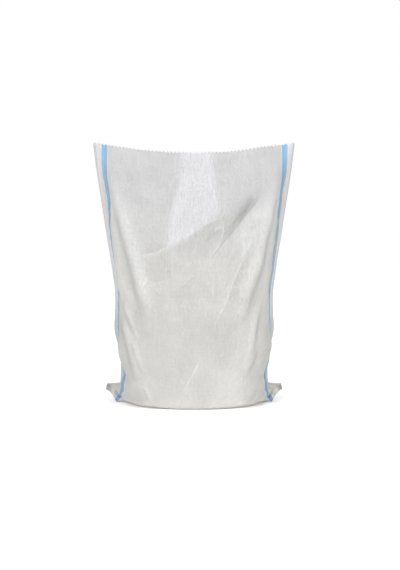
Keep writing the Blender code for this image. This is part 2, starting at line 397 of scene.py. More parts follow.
    def through_ear(self, across: np.ndarray, up: np.ndarray, y_sign: np.ndarray) -> tuple[np.ndarray, ...]:
        """Leads a column of cloth up the hem, through the ear and round the corner of the body.

        Args:
            across: How far the columns lie across their panel.
            up: The share of this way, from 0 to 1.
            y_sign: -1 on the front panel and 1 on the back.

        Returns:
            The places, and the length of each way.
        """
        low, high = self.hem_lines(across)
        high[:, 1] += y_sign * self.ear_half
        x, y = self.wall(across, np.full_like(across, self.ear_top_z))
        body = np.stack([x, y_sign * np.maximum(y, self.ear_half), np.full_like(x, self.ear_top_z)], axis=-1)
        elbow = high + (body - high) * np.array(self.elbow)
        web = np.linalg.norm(elbow - high, axis=-1) + np.linalg.norm(body - elbow, axis=-1)
        total = self.hem + web
        passed = up * total
        t = np.clip((passed - self.hem) / web, 0, 1)[:, None]
        in_hem = np.clip(passed / self.hem, 0, 1)[:, None]
        curve = high * (1 - t) ** 2 + elbow * 2 * t * (1 - t) + body * t**2
        return np.where((passed < self.hem)[:, None], low + (high - low) * in_hem, curve), total

    def over_floor(self, across: np.ndarray, up: np.ndarray, y_sign: np.ndarray) -> tuple[np.ndarray, ...]:
        """Leads a column of cloth along the floor and up the foot of the body.

        Args:
            across: How far the columns lie across their panel.
            up: The share of this way, from 0 to 1.
            y_sign: -1 on the front panel and 1 on the back.

        Returns:
            The places, and the length of each way.
        """
        low, _ = self.hem_lines(across)
        x_edge, y_edge = self.wall(across, np.zeros_like(across))
        edge = np.stack([x_edge, y_sign * y_edge, np.full_like(x_edge, self.foot_gap)], axis=-1)
        floor = np.linalg.norm(edge - low, axis=-1)
        total = floor + self.ear_top_z + self.foot_slack
        passed = up * total
        on_floor = np.clip(passed / floor, 0, 1)[:, None]
        z = np.clip((passed - floor) / (total - floor), 0, 1) * self.ear_top_z
        x, y = self.wall(across, z)
        risen = np.stack([x, y_sign * y, z + self.foot_gap * (1 - z / self.ear_top_z)], axis=-1)
        return np.where((passed < floor)[:, None], low + (edge - low) * on_floor, risen), total

    def place(self, across: np.ndarray, up: np.ndarray, y_sign: np.ndarray) -> np.ndarray:
        """Finds where points of the flat tube stand.

        Args:
            across: How far they lie across their panel.
            up: How far they lie up from the bottom seam.
            y_sign: -1 on the front panel and 1 on the back.

        Returns:
            Their places, a row for each.
        """
        from_crease = self.half_panel - np.abs(across)
        under = smooth_step(*self.under, from_crease)
        zero = np.zeros_like(across)
        _, ear_way = self.through_ear(across, zero, y_sign)
        _, floor_way = self.over_floor(across, zero, y_sign)
        foot = ear_way * (1 - under) + floor_way * under
        share = np.clip(up / foot, 0, 1)
        ear, _ = self.through_ear(across, share, y_sign)
        base, _ = self.over_floor(across, share, y_sign)
        low = ear + (base - ear) * under[:, None]
        above = np.clip((up - foot) / (self.length - foot), 0, 1)
        z = self.ear_top_z + (self.mouth_z - self.ear_top_z) * above
        x, y = self.wall(across, z)
        risen = np.clip((z - self.dip_from) / (self.mouth_z - self.dip_from), 0, 1)
        dip = self.mouth_dip * risen * (1 - (across / self.half_panel) ** 2) + self.corner_drop * risen
        high = np.stack([x, y_sign * y, z - dip], axis=-1)
        return np.where((up < foot)[:, None], low, high)


class Crease(Enum):
    """The kinds of fold in the cloth."""

    RIDGE = "ridge"
    VALLEY = "valley"
    CRISP = "crisp"
    NICK = "nick"
    LAP = "lap"


# The width of the line that a pressed fold shows. The real one is finer, too fine to show in the render.
LINE_WIDTH = 0.0015


@dataclass(frozen=True)
class Fold:
    """A fold of the standing cloth.

    Its route is points (x, z) in millimetres. A lap stands proud on the right of its run and drops off on the
    left, within its step, to its sink as a share of the height. The fade gives the shares of the run over
    which the fold rises and dies out. The shade says how dark a lap's lee or a valley is, from 0 to 1.
    """

    kind: Crease
    width: float
    height: float
    route: tuple[tuple[float, float], ...]
    fade: tuple[float, float] = (0.4, 0.4)
    step: float = 0.0028
    sink: float = 0.55
    shade: float = 0.4

    @property
    def pressed(self) -> bool:
        """Whether the fold is a sharp line, which the cloth's threads are drawn onto."""
        soft_step = 0.008
        return self.kind in (Crease.CRISP, Crease.NICK) or (self.kind is Crease.LAP and self.step < soft_step)

    def line(self) -> np.ndarray:
        """Draws the route as a smooth line.

        Returns:
            Its points (x, z), in metres.
        """
        pieces = 6  # between two points of the route
        points = np.array(self.route) * MM
        if len(points) < 3:
            return points
        keys = np.arange(len(points), dtype=float)
        return smooth_rows(keys, points, np.linspace(0, keys[-1], pieces * (len(points) - 1) + 1))

    def distances(self, x: np.ndarray, z: np.ndarray) -> tuple[np.ndarray, ...]:
        """Measures places from the fold.

        Args:
            x: Their x.
            z: Their heights.

        Returns:
            Their signed distance, positive on the right of the run, the share of the run that they lie at,
            and the way to the nearest point of the fold, in x and in z.
        """
        points = self.line()
        lengths = np.hypot(*np.diff(points, axis=0).T)
        best = np.full(x.shape, 1e9)
        signed, share, way_x, way_z = (np.zeros(x.shape) for _ in range(4))
        passed = 0.0
        for (ax, az), (bx, bz), length in zip(points, points[1:], lengths):
            ux, uz = (bx - ax) / length, (bz - az) / length
            t = np.clip((x - ax) * ux + (z - az) * uz, 0, length)
            dx, dz = x - (ax + t * ux), z - (az + t * uz)
            distance = np.hypot(dx, dz)
            nearer = distance < best
            best = np.where(nearer, distance, best)
            signed = np.where(nearer, distance * np.sign(dx * uz - dz * ux), signed)
            share = np.where(nearer, (passed + t) / lengths.sum(), share)
            way_x, way_z = np.where(nearer, -dx, way_x), np.where(nearer, -dz, way_z)
            passed += length
        return signed, share, way_x, way_z

    def strength(self, share: np.ndarray) -> np.ndarray:
        """How strong the fold is along its run."""
        return smooth_step(0, self.fade[0], share) * smooth_step(0, self.fade[1], 1 - share)

    def relief(self, x: np.ndarray, z: np.ndarray) -> np.ndarray:
        """Finds how far the fold lifts the cloth.

        Args:
            x: The places' x.
            z: Their heights.

        Returns:
            Each place's lift.
        """
        sharpness, proud_fall = 1.15, 1.2
        sunk_fall, sunk_width = 1.1, 0.6
        signed, share, _, _ = self.distances(x, z)
        reach = np.abs(signed) / self.width
        soft = np.exp(-(reach**2))
        sharp = np.exp(-(reach**sharpness))
        right = np.exp(-((np.maximum(signed, 0) / self.width) ** proud_fall))
        beyond = np.maximum(-signed - self.step, 0)
        left = -self.sink * np.exp(-((beyond / (self.width * sunk_width)) ** sunk_fall))
        drop = smooth_step(0, 1, -signed / self.step)
        lift = {
            Crease.RIDGE: soft,
            Crease.VALLEY: -soft,
            Crease.CRISP: sharp,
            Crease.NICK: -sharp,
            Crease.LAP: np.where(signed > 0, right, right + (left - right) * drop),
        }[self.kind]
        return self.height * lift * self.strength(share)

    def lap_lee(self, signed: np.ndarray, share: np.ndarray) -> np.ndarray:
        """Finds how far the cloth lies in the lee of a lap.

        Args:
            signed: The places' signed distance from the fold.
            share: The share of the run that they lie at.

        Returns:
            Each place's lee, from 0 to 1, which sets its painted shade.
        """
        strength = self.strength(share)
        away = np.maximum(np.abs(signed + self.step / 2) - self.step / 2, 0)
        if self.pressed:
            # Painted shade: a dark line all along the edge, and a broad shade beside its upper end.
            line_strength, line_rise, broad_strength, broad_width = 0.90, 2.5, 0.50, 0.40
            broad = np.exp(-away / (broad_width * self.width)) * smooth_step(0.58, 0.95, share)
            fall = broad_strength * strength * broad
            fall += line_strength * np.minimum(1, line_rise * strength) * np.exp(-away / LINE_WIDTH)
            return self.shade * fall * np.where(signed > 0, np.exp(-signed / LINE_WIDTH), 1.0)
        soft_width, edge_width = 0.14, 0.002
        fall = np.exp(-away / (soft_width * self.width))
        beside = np.where(signed > 0, fall.max() * np.exp(-signed / edge_width), fall)
        return strength * self.shade * beside

    def marks(self, x: np.ndarray, z: np.ndarray) -> tuple[np.ndarray, np.ndarray]:
        """Finds how the fold marks the cloth.

        Args:
            x: The places' x.
            z: Their heights.

        Returns:
            How white the cloth turns along a sharp line, partly from stress and partly as a painted
            highlight, with a painted highlight over the proud side of a lap, and how far it lies in the lee
            of a lap or in a valley, for painted shade. Both run from 0 to 1.
        """
        signed, share, _, _ = self.distances(x, z)
        strength = self.strength(share)
        white, lee = np.zeros(x.shape), np.zeros(x.shape)
        if self.pressed:
            palest = 0.4 if self.kind is Crease.LAP else 0.8
            pale_height, pale_rise = 0.003, 1.6
            pale = palest * np.minimum(1.0, strength * (self.height / pale_height) ** pale_rise)
            white = np.exp(-((signed / LINE_WIDTH) ** 2)) * pale
        if self.kind is Crease.LAP:
            # The proud side of a lap gets a painted highlight.
            full_height, proud_middle, proud_width, proud_painted_highlight = 0.008, 0.45, 0.42, 0.55
            full = strength * min(1.0, self.height / full_height)
            proud = np.exp(-(((signed - proud_middle * self.width) / (proud_width * self.width)) ** 2))
            white = np.maximum(white, proud_painted_highlight * full * proud)
            lee = self.lap_lee(signed, share)
        # A valley gets painted shade.
        if self.kind is Crease.VALLEY:
            lee = strength * self.shade * np.exp(-((signed / self.width) ** 2))
        return white, lee


@dataclass(frozen=True)
class Crumple:
    """Uneven cloth: ridges of a size, drawn out up the sack. Crisp ones are sharp on top."""

    wave: float
    height: float
    stretch: float
    seed: float
    crisp: bool = False

    def relief(self, across: float, up: float, side: float) -> float:
        """Finds how far it lifts the cloth at a point of the flat tube.

        Args:
            across: How far the point lies across its panel.
            up: How far it lies up from the bottom seam.
            side: Its side, -1 at the front, 0 on a crease and 1 at the back.

        Returns:
            The lift.
        """
        back_turn, crisp_top, crispness = 7.3, 0.5, 1.6
        turn = back_turn if side > 0.5 else 0.0
        spot = Vector((across / self.wave + turn, up / (self.wave * self.stretch), self.seed + turn))
        value = noise.noise(spot)
        return self.height * (crisp_top - abs(value) * crispness if self.crisp else value)


FRONT_FOLDS = (
    # The main lap, from the middle up to the right corner, with the hollow behind it.
    Fold(
        Crease.LAP, 0.034, 0.0085,
        ((37, 378), (52, 397), (75, 434), (93, 452), (122, 489), (145, 518), (161, 536), (184, 562)),
        fade=(0.70, 0.22), step=0.0035, sink=1.0, shade=1.00,
    ),
    Fold(
        Crease.VALLEY, 0.009, 0.0040,
        ((95, 462), (109, 483), (127, 508), (144, 535), (158, 564)),
        fade=(0.6, 0.20), shade=0.55,
    ),
    Fold(
        Crease.CRISP, 0.008, 0.0020,
        ((-65, 437), (-26, 453), (11, 477), (40, 493), (67, 505), (78, 515), (85, 535)),
        fade=(0.3, 0.2),
    ),
    Fold(Crease.CRISP, 0.006, 0.0030, ((50, 466), (60, 474), (74, 485)), fade=(0.3, 0.3)),
    Fold(
        Crease.CRISP, 0.006, 0.0026,
        ((37, 388), (53, 414), (69, 437), (76, 460), (78, 503)),
        fade=(0.3, 0.2),
    ),
    Fold(
        Crease.CRISP, 0.008, 0.0042,
        ((51, 214), (69, 254), (89, 299), (98, 325), (122, 382), (139, 420), (160, 471)),
        fade=(0.3, 0.2),
    ),
    Fold(Crease.RIDGE, 0.010, 0.0040, ((140, 400), (150, 425), (158, 452))),
    Fold(Crease.CRISP, 0.007, 0.0040, ((124, 396), (133, 420), (130, 444), (141, 470))),
    # Soft steps from the corners of the mouth down to the belly.
    Fold(
        Crease.LAP, 0.034, 0.0095,
        ((218, 600), (207, 538), (199, 495), (190, 458), (182, 421), (174, 384), (160, 347), (149, 311),
         (138, 274), (126, 237), (111, 201)),
        fade=(0.30, 0.34), step=0.016, sink=0.55, shade=0.50,
    ),
    Fold(
        Crease.LAP, 0.034, 0.0085,
        ((-102, 200), (-113, 237), (-131, 274), (-144, 311), (-153, 347), (-162, 384), (-173, 421),
         (-185, 458), (-194, 495), (-204, 538), (-216, 600)),
        fade=(0.34, 0.30), step=0.016, sink=0.55, shade=0.55,
    ),
    # Facets between them and the sides.
    Fold(
        Crease.LAP, 0.020, 0.0050,
        ((178, 288), (166, 241), (158, 199), (153, 162), (145, 125), (140, 87)),
        fade=(0.3, 0.3), step=0.011,
    ),
    Fold(
        Crease.LAP, 0.020, 0.0050,
        ((-147, 55), (-155, 86), (-163, 124), (-171, 161), (-180, 197), (-192, 232), (-199, 268)),
        fade=(0.3, 0.3), step=0.011,
    ),
    Fold(Crease.LAP, 0.016, 0.0042, ((174, 258), (162, 224), (151, 185)), step=0.009),
    Fold(Crease.LAP, 0.016, 0.0046, ((167, 172), (154, 128), (143, 109), (139, 82)), step=0.008),
    Fold(Crease.LAP, 0.014, 0.0042, ((-150, 186), (-165, 223), (-181, 263), (-189, 292)), step=0.008),
    Fold(Crease.NICK, 0.007, 0.0024, ((-157, 214), (-144, 190))),
    Fold(
        Crease.LAP, 0.016, 0.0048,
        ((-129, 84), (-141, 114), (-149, 135), (-160, 169), (-171, 190)),
        fade=(0.4, 0.3),
    ),
    Fold(Crease.LAP, 0.012, 0.0044, ((-113, 16), (-124, 41), (-134, 62)), fade=(0.3, 0.4)),
    Fold(Crease.NICK, 0.010, 0.0032, ((-28, 47), (-24, 53), (4, 107), (24, 142)), fade=(0.3, 0.4)),
    # Creases left from the pack that the sack came folded in.
    Fold(
        Crease.NICK, 0.006, 0.0028,
        ((-145, 403), (-123, 411), (-102, 414), (-81, 424), (-65, 432)),
        fade=(0.3, 0.3),
    ),
    Fold(Crease.NICK, 0.006, 0.0015, ((-128, 348), (-102, 335), (-76, 341), (-49, 350))),
    Fold(Crease.NICK, 0.006, 0.0014, ((-112, 316), (-86, 322), (-60, 332))),
    Fold(Crease.CRISP, 0.006, 0.0018, ((-49, 317), (-23, 335), (3, 364))),
    Fold(Crease.CRISP, 0.005, 0.0022, ((-194, 352), (-184, 330), (-180, 306))),
    Fold(Crease.NICK, 0.005, 0.0018, ((-182, 322), (-172, 300), (-166, 280))),
    Fold(Crease.CRISP, 0.005, 0.0020, ((-172, 318), (-163, 296), (-160, 276))),
    Fold(Crease.CRISP, 0.006, 0.0014, ((-184, 472), (-170, 468), (-155, 467))),
    Fold(Crease.CRISP, 0.006, 0.0018, ((50, 328), (51, 288))),
    Fold(Crease.NICK, 0.006, 0.0010, ((-118, 293), (-10, 294), (92, 292)), fade=(0.15, 0.15)),
    Fold(Crease.NICK, 0.006, 0.0010, ((-73, 430), (-72, 360), (-73, 289)), fade=(0.2, 0.2)),
    Fold(Crease.CRISP, 0.006, 0.0014, ((-48, 680), (-50, 615), (-66, 572), (-69, 483)), fade=(0.1, 0.3)),
    Fold(Crease.CRISP, 0.006, 0.0014, ((35, 680), (43, 615), (54, 572), (67, 514)), fade=(0.1, 0.3)),
)
# The photograph doesn't show the back. Its folds are of the same kinds and sizes as those of the front.
BACK_FOLDS = (
    Fold(
        Crease.LAP, 0.030, 0.0070,
        ((-150, 300), (-112, 360), (-60, 428), (-20, 470)),
        fade=(0.35, 0.20), step=0.006,
    ),
    Fold(
        Crease.LAP, 0.034, 0.0095,
        ((216, 600), (200, 520), (178, 420), (158, 342), (131, 262), (112, 190)),
        fade=(0.2, 0.3), step=0.015,
    ),
    Fold(
        Crease.LAP, 0.034, 0.0095,
        ((-120, 205), (-136, 262), (-160, 330), (-172, 410), (-196, 500), (-214, 580)),
        fade=(0.2, 0.3), step=0.015,
    ),
    Fold(Crease.CRISP, 0.010, 0.0034, ((30, 240), (62, 300), (84, 372), (120, 446)), fade=(0.4, 0.3)),
    Fold(Crease.NICK, 0.010, 0.0030, ((-10, 60), (12, 104), (20, 150)), fade=(0.3, 0.4)),
    Fold(Crease.LAP, 0.015, 0.0045, ((-160, 168), (-146, 118), (-134, 70))),
    Fold(Crease.LAP, 0.015, 0.0045, ((138, 72), (152, 112), (166, 160))),
    Fold(Crease.NICK, 0.006, 0.0010, ((-112, 293), (0, 295), (104, 292)), fade=(0.15, 0.15)),
)


# The crinkled band under the mouth, with painted light: its outline on the front, (x, z) in millimetres.
BAND = (
    (-33, 725), (-34, 687), (-37, 633), (-39, 593), (-52, 553), (-63, 514), (-68, 474), (-73, 429),
    (-55, 430), (-15, 450), (11, 472), (38, 493), (54, 506), (64, 530), (64, 565), (60, 592), (56, 608),
    (51, 646), (49, 687), (49, 725),
)


@dataclass(frozen=True)
class Patch:
    """A part of the front with painted light or painted shade, and crushed to some degree."""

    # Painted light by this share, painted shade where it is negative.
    light: float  # by what share it is lighter
    # How deep its crinkles are, and how bright their painted highlights.
    crushed: float  # how deep and bright its crinkles are, from 0 to 1
    soft: float  # how wide its soft edge is
    outline: tuple[tuple[float, float], ...]


PATCHES = (
    # The facet between the band and the main lap gets painted shade.
    Patch(
        -0.050, 0.2, 0.016,
        ((-60, 425), (-26, 446), (-10, 464), (12, 482), (42, 500), (72, 520), (92, 500), (75, 462),
         (52, 430), (37, 400), (0, 392), (-40, 404)),
    ),
    # Painted light between the band and the hollow, and painted shade in the hollow's upper end.
    Patch(
        0.020, 0.2, 0.016,
        ((60, 592), (80, 580), (101, 564), (101, 543), (88, 522), (62, 503), (50, 505)),
    ),
    Patch(
        -0.030, 0.0, 0.030,
        ((78, 470), (100, 510), (126, 548), (152, 566), (150, 530), (120, 486), (92, 450)),
    ),
    # Painted highlights on the crinkled cloth right of the main lap.
    Patch(
        0.060, 0.7, 0.016,
        ((198, 538), (154, 495), (122, 453), (90, 411), (74, 375), (101, 374), (133, 416), (154, 442),
         (181, 479), (210, 517)),
    ),
    Patch(0.105, 1.0, 0.014, ((128, 472), (165, 476), (154, 425), (138, 395), (122, 400), (122, 438))),
    # Painted light on the strips between the stripes and the soft steps.
    Patch(
        0.045, 0.7, 0.018,
        ((-221, 649), (-188, 648), (-170, 580), (-153, 514), (-134, 448), (-115, 390), (-142, 385),
         (-175, 447), (-198, 514), (-215, 581)),
    ),
    Patch(
        0.040, 0.8, 0.018,
        ((-158, 390), (-126, 390), (-110, 343), (-99, 291), (-115, 243), (-131, 290), (-147, 342)),
    ),
    Patch(
        0.045, 0.7, 0.018,
        ((171, 522), (204, 522), (181, 447), (159, 389), (143, 329), (122, 290), (122, 343), (143, 408)),
    ),
    Patch(0.040, 0.4, 0.018, ((192, 650), (222, 650), (214, 560), (204, 522), (182, 535))),
    # Painted shade on the upper left, and painted light in the middle.
    Patch(-0.030, 0.0, 0.060, ((-190, 760), (-40, 760), (-50, 610), (-170, 610))),
    Patch(0.045, 0.3, 0.040, ((0, 400), (60, 400), (90, 340), (80, 250), (0, 250))),
    Patch(0.040, 0.6, 0.030, ((-110, 275), (-20, 285), (-20, 185), (-110, 185))),
    Patch(
        0.040, 1.0, 0.030,
        ((70, 350), (110, 360), (150, 430), (165, 430), (160, 330), (120, 290), (80, 280)),
    ),
    # Painted light and painted shade lower down.
    Patch(
        0.070, 0.6, 0.030,
        ((90, 291), (138, 258), (133, 158), (136, 90), (136, -5), (80, -5), (85, 60), (101, 211)),
    ),
    Patch(0.045, 0.5, 0.020, ((-36, 79), (16, 127), (16, 12), (-47, 11))),
    Patch(0.070, 0.3, 0.030, ((50, 105), (128, 110), (128, -12), (45, -12))),
    Patch(0.035, 0.2, 0.030, ((50, 285), (92, 285), (105, 205), (60, 205))),
    Patch(-0.050, 0.0, 0.020, ((-158, 190), (-136, 190), (-134, 155), (-152, 155))),
    Patch(0.050, 0.2, 0.014, ((-136, 265), (-118, 265), (-112, 215), (-128, 215))),
    Patch(-0.055, 0.0, 0.014, ((-160, 262), (-142, 262), (-136, 225), (-156, 225))),
    Patch(-0.045, 0.0, 0.030, ((80, 230), (125, 240), (118, 175), (85, 165))),
    Patch(
        0.020, 0.5, 0.016,
        ((-78, 291), (48, 318), (64, 291), (64, 212), (37, 233), (-10, 244), (-73, 243)),
    ),
    # The corners of the foot, which the floor lights.
    Patch(0.110, 0.0, 0.012, ((-205, 14), (-118, 14), (-118, -12), (-205, -12))),
    Patch(0.110, 0.0, 0.012, ((118, 14), (205, 14), (205, -12), (118, -12))),
    # Painted shade on the lower sides and on the ears.
    Patch(
        -0.085, 0.2, 0.030,
        ((-240, 250), (-180, 250), (-164, 190), (-150, 130), (-142, 60), (-127, 10), (-240, 5)),
    ),
    Patch(-0.070, 0.2, 0.030, ((240, 220), (180, 220), (166, 160), (158, 100), (158, 20), (240, 5))),
    Patch(-0.020, 0.9, 0.006, ((-290, -5), (-206, -5), (-206, 60), (-290, 60))),
    Patch(-0.020, 0.9, 0.006, ((206, -5), (290, -5), (290, 60), (206, 60))),
)


def inside_distance(outline: tuple[tuple[float, float], ...], x: np.ndarray, z: np.ndarray) -> np.ndarray:
    """Measures how far places lie inside a closed outline.

    Args:
        outline: Its corners, in millimetres.
        x: The places' x.
        z: Their heights.

    Returns:
        Their distance from its edge, negative outside.
    """
    corners = np.array(outline) * MM
    best = np.full(x.shape, 1e9)
    inside = np.zeros(x.shape, dtype=bool)
    for (ax, az), (bx, bz) in zip(corners, np.roll(corners, -1, axis=0)):
        run, rise = bx - ax, bz - az
        t = np.clip(((x - ax) * run + (z - az) * rise) / (run**2 + rise**2), 0, 1)
        best = np.minimum(best, np.hypot(x - ax - t * run, z - az - t * rise))
        crossed = (az > z) != (bz > z)
        inside ^= crossed & (x < ax + (z - az) * run / (rise or 1.0))
    return np.where(inside, best, -best)


@dataclass(frozen=True)
class Grain:
    """Unevenness along the threads: its waves for each metre across and up, and its finer octaves."""

    across: float
    up: float
    octaves: float
    twist: float = 0.0

    def draw(self, tree: bpy.types.NodeTree) -> bpy.types.NodeSocket:
        """Draws the unevenness.

        Args:
            tree: The material's nodes.

        Returns:
            The unevenness, from 0 to 1.
        """
        uv = add_node(tree, "UVMap", uv_map=UV_NAME)
        drawn = add_node(tree, "VectorMath", {0: uv, 1: (self.across, self.up, 1)}, operation="MULTIPLY")
        return add_node(tree, "TexNoise", {"Vector": drawn, "Scale": 1.0, "Detail": self.octaves,
                                           "Roughness": 0.55, "Distortion": self.twist})


@dataclass
class Patterns:
    """The patterns that the cloth's colour and its relief share, each the output of a node."""

    weft_over: bpy.types.NodeSocket  # whether the weft is on top, 0 or 1
    height: bpy.types.NodeSocket  # of the tapes
    tone: bpy.types.NodeSocket  # of each tape, from 0 to 1
    warp: bpy.types.NodeSocket  # unevenness of the tapes that run up
    weft: bpy.types.NodeSocket  # and of those that run across
    crinkle: bpy.types.NodeSocket  # fine crinkles that run up the cloth
    ridge: bpy.types.NodeSocket  # the crinkles' tops
    mottle: bpy.types.NodeSocket  # small dents
    up: bpy.types.NodeSocket  # height above the floor, in metres
    band: bpy.types.NodeSocket  # the bright band
    busy: bpy.types.NodeSocket  # where the crinkles show


@dataclass
class WovenLook:
    """The woven polypropylene: flat tapes over and under one another.

    It is milky, a little glossy and translucent.
    """

    tape: float = 0.003  # a tape's width; the real ones are 2.5 to 3 mm wide
    tape_height: float = 0.00012
    slit_light: float = 0.84  # the slits between the tapes are dark
    # Streaks a tape wide and 42 mm long up the cloth, and 3.3 mm wide and 33 mm long across it.
    warp_grain: Grain = Grain(380, 24, 3)
    weft_grain: Grain = Grain(30, 300, 3)
    # Crinkles 5.4 mm apart. The real ones are a tape apart, too fine to show in the render.
    crinkles: Grain = Grain(185, 58, 3, 0.9)
    crinkle_top: float = 0.10  # how wide their tops are, in shares of the unevenness
    mottling: Grain = Grain(150, 110, 4)  # dents of 7 to 9 mm
    clouds: Grain = Grain(16, 11, 4)  # handled cloth, 60 to 90 mm from light to dark and back
    zones: Grain = Grain(9, 8, 2)  # where the plain cloth is crinkled, in spots of 110 to 125 mm
    zone_most: float = 0.6  # how far, where the band is crinkled fully
    band_fray: float = 0.030  # how ragged the bright band's edge is
    band_edge: tuple[float, float] = (0.007, 0.025)  # how far inside its outline it starts, and is full
    # By what share each of them makes the cloth lighter or darker.
    tone_swing: float = 0.019
    warp_swing: float = 0.030
    weft_swing: float = 0.045
    mottle_swing: float = 0.06
    cloud_swing: float = 0.075
    # Painted highlight on the crinkles' tops and painted shade between them.
    crinkle_painted_light: tuple[float, float] = (0.977, 1.040)  # between the crinkles, and on their tops
    # How deep they are, in metres.
    crinkle_depths: tuple[float, float] = (0.0003, 0.0006)  # on plain cloth, and on crushed cloth
    dent_depth: float = 0.0008
    rib_depth: float = 0.0004  # of the tapes that run across, one against another
    # The cloth is cooler under the mouth and warmer lower down, where light comes back up from the floor.
    cloth_high: str = "d6d6d7"
    cloth_low: str = "d9d8d4"
    warm_fall: tuple[float, float] = (0.58, 0.30)  # the heights between which it turns warmer
    # The band's painted light.
    band_painted_light: str = "e9e9ec"
    # The white of sharp folds under stress, with painted highlights there and on the proud sides of laps.
    whitened_and_highlight: str = "f4f4f2"
    foot_light: float = 1.12  # light that the foot gets back from the floor, and how high that goes
    foot_light_top: float = 0.030
    # The blue tapes: their colour at the mouth, and below it each colour with the heights where it comes in.
    stripe_tape: float = 0.0033
    stripe_half: float = 0.0080
    stripe_top: str = "92c0e8"
    # The colours below the mouth are painted light and shade on the one blue.
    stripe_painted_below: tuple[tuple[str, float, float], ...] = (
        ("90abc2", 0.67, 0.61), ("a4adb6", 0.50, 0.46), ("8aa6bb", 0.33, 0.28), ("88a9c6", 0.14, 0.10),
        ("3f78c4", 0.022, 0.010),
    )
    dye_lights: tuple[float, float] = (0.86, 1.08)  # no two blue tapes are dyed alike
    stripe_weft: str = "c0d6e8"
    stripe_fringe: str = "d6e2ec"
    # The cloth between a stripe and its side crease, its cooler colour at the waist, and the waist's heights.
    flange: str = "dad8d5"
    flange_pale: str = "cbd5d9"
    flange_share: float = 0.8  # how far either colour takes the place of the plain cloth's
    flange_start: tuple[float, float] = (-0.010, -0.014)  # from the middle of the stripe outwards
    waist_top: tuple[float, float] = (0.44, 0.34)
    waist_foot: tuple[float, float] = (0.10, 0.16)
    roughness: tuple[float, float] = (0.35, 0.48)  # of the smoothest and the dullest tape
    through: float = 0.22  # how much light passes through the cloth
    ior: float = 1.49

    def weave(self, tree: bpy.types.NodeTree) -> tuple[bpy.types.NodeSocket, ...]:
        """Draws the plain weave.

        Args:
            tree: The material's nodes.

        Returns:
            Whether the weft is on top (0 or 1), the height of the tapes, and a tone from 0 to 1 for each
            tape.
        """
        uv = add_node(tree, "UVMap", uv_map=UV_NAME)
        tapes = add_node(tree, "VectorMath", {0: uv, 1: (1 / self.tape,) * 3}, operation="MULTIPLY")
        cell = add_node(tree, "VectorMath", {0: tapes}, operation="FLOOR")
        inner = add_node(tree, "VectorMath", {0: tapes}, operation="FRACTION")
        warp, weft = (add_node(tree, "SeparateXYZ", {0: cell}, k) for k in (0, 1))
        both = add_node(tree, "Math", {0: warp, 1: weft}, operation="ADD")
        weft_over = add_node(tree, "Math", {0: both, 1: 2.0}, operation="FLOORED_MODULO")

        # A tape is flat across, with rounded edges, and arched along, where it dives under the next one.
        ones = (1, 1, 1)
        centred = add_node(tree, "VectorMath", {0: inner, 1: (2, 2, 2), 2: (-1, -1, -1)},
                           operation="MULTIPLY_ADD")
        squared = add_node(tree, "VectorMath", {0: centred, 1: centred}, operation="MULTIPLY")
        fourth = add_node(tree, "VectorMath", {0: squared, 1: squared}, operation="MULTIPLY")
        flat_top = add_node(tree, "VectorMath", {0: ones, 1: fourth}, operation="SUBTRACT")
        rise = add_node(tree, "VectorMath", {0: squared, 1: (-0.5,) * 3, 2: ones}, operation="MULTIPLY_ADD")
        heights = []
        for across, along in ((0, 1), (1, 0)):
            edge = add_node(tree, "SeparateXYZ", {0: flat_top}, across)
            arch = add_node(tree, "SeparateXYZ", {0: rise}, along)
            heights.append(add_node(tree, "Math", {0: edge, 1: arch}, operation="MULTIPLY"))
        height = add_node(tree, "Mix", {0: weft_over, 2: heights[0], 3: heights[1]})
        tones = [add_node(tree, "TexWhiteNoise", {"W": n}, noise_dimensions="1D") for n in (warp, weft)]
        return weft_over, height, add_node(tree, "Mix", {0: weft_over, 2: tones[0], 3: tones[1]})

    def patterns(self, tree: bpy.types.NodeTree) -> Patterns:
        """Draws everything that varies over the cloth.

        Args:
            tree: The material's nodes.

        Returns:
            The patterns.
        """
        weft_over, height, tone = self.weave(tree)
        warp, crinkle = self.warp_grain.draw(tree), self.crinkles.draw(tree)
        off_ridge = add_node(tree, "Math", {0: crinkle, 1: 0.5}, operation="SUBTRACT")
        from_ridge = add_node(tree, "Math", {0: off_ridge}, operation="ABSOLUTE")
        ridge = add_node(tree, "MapRange", {"Value": from_ridge, "From Max": self.crinkle_top, "To Min": 1.0,
                                            "To Max": 0.0})
        place = add_node(tree, "TexCoord", output="Object")

        # The band under the mouth has ragged edges.
        inside = add_node(tree, "Attribute", attribute_name=BAND_NAME, output="Fac")
        ragged = add_node(tree, "Math", {0: warp, 1: self.band_fray, 2: inside}, operation="MULTIPLY_ADD")
        low, high = self.band_edge
        band = add_node(tree, "MapRange", {"Value": ragged, "From Min": low, "From Max": high})

        # The crinkles show in the band, where the cloth is crushed, and in spots elsewhere.
        zone = self.zones.draw(tree)
        spots = add_node(tree, "MapRange", {"Value": zone, "From Min": 0.47, "From Max": 0.60,
                                            "To Max": self.zone_most})
        crushed = add_node(tree, "Attribute", attribute_name=CRUSHED_NAME, output="Fac")
        either = add_node(tree, "Math", {0: crushed, 1: spots}, operation="MAXIMUM")
        return Patterns(
            weft_over, height, tone, warp, self.weft_grain.draw(tree), crinkle, ridge,
            mottle=self.mottling.draw(tree),
            up=add_node(tree, "SeparateXYZ", {0: place}, "Z"),
            band=band,
            busy=add_node(tree, "Math", {0: band, 1: either}, operation="MAXIMUM"),
        )

    def light(self, tree: bpy.types.NodeTree, cloth: Patterns) -> bpy.types.NodeSocket:
        """Finds how light the cloth is, whatever its colour.

        Args:
            tree: The material's nodes.
            cloth: The cloth's patterns.

        Returns:
            A factor for the colours.
        """
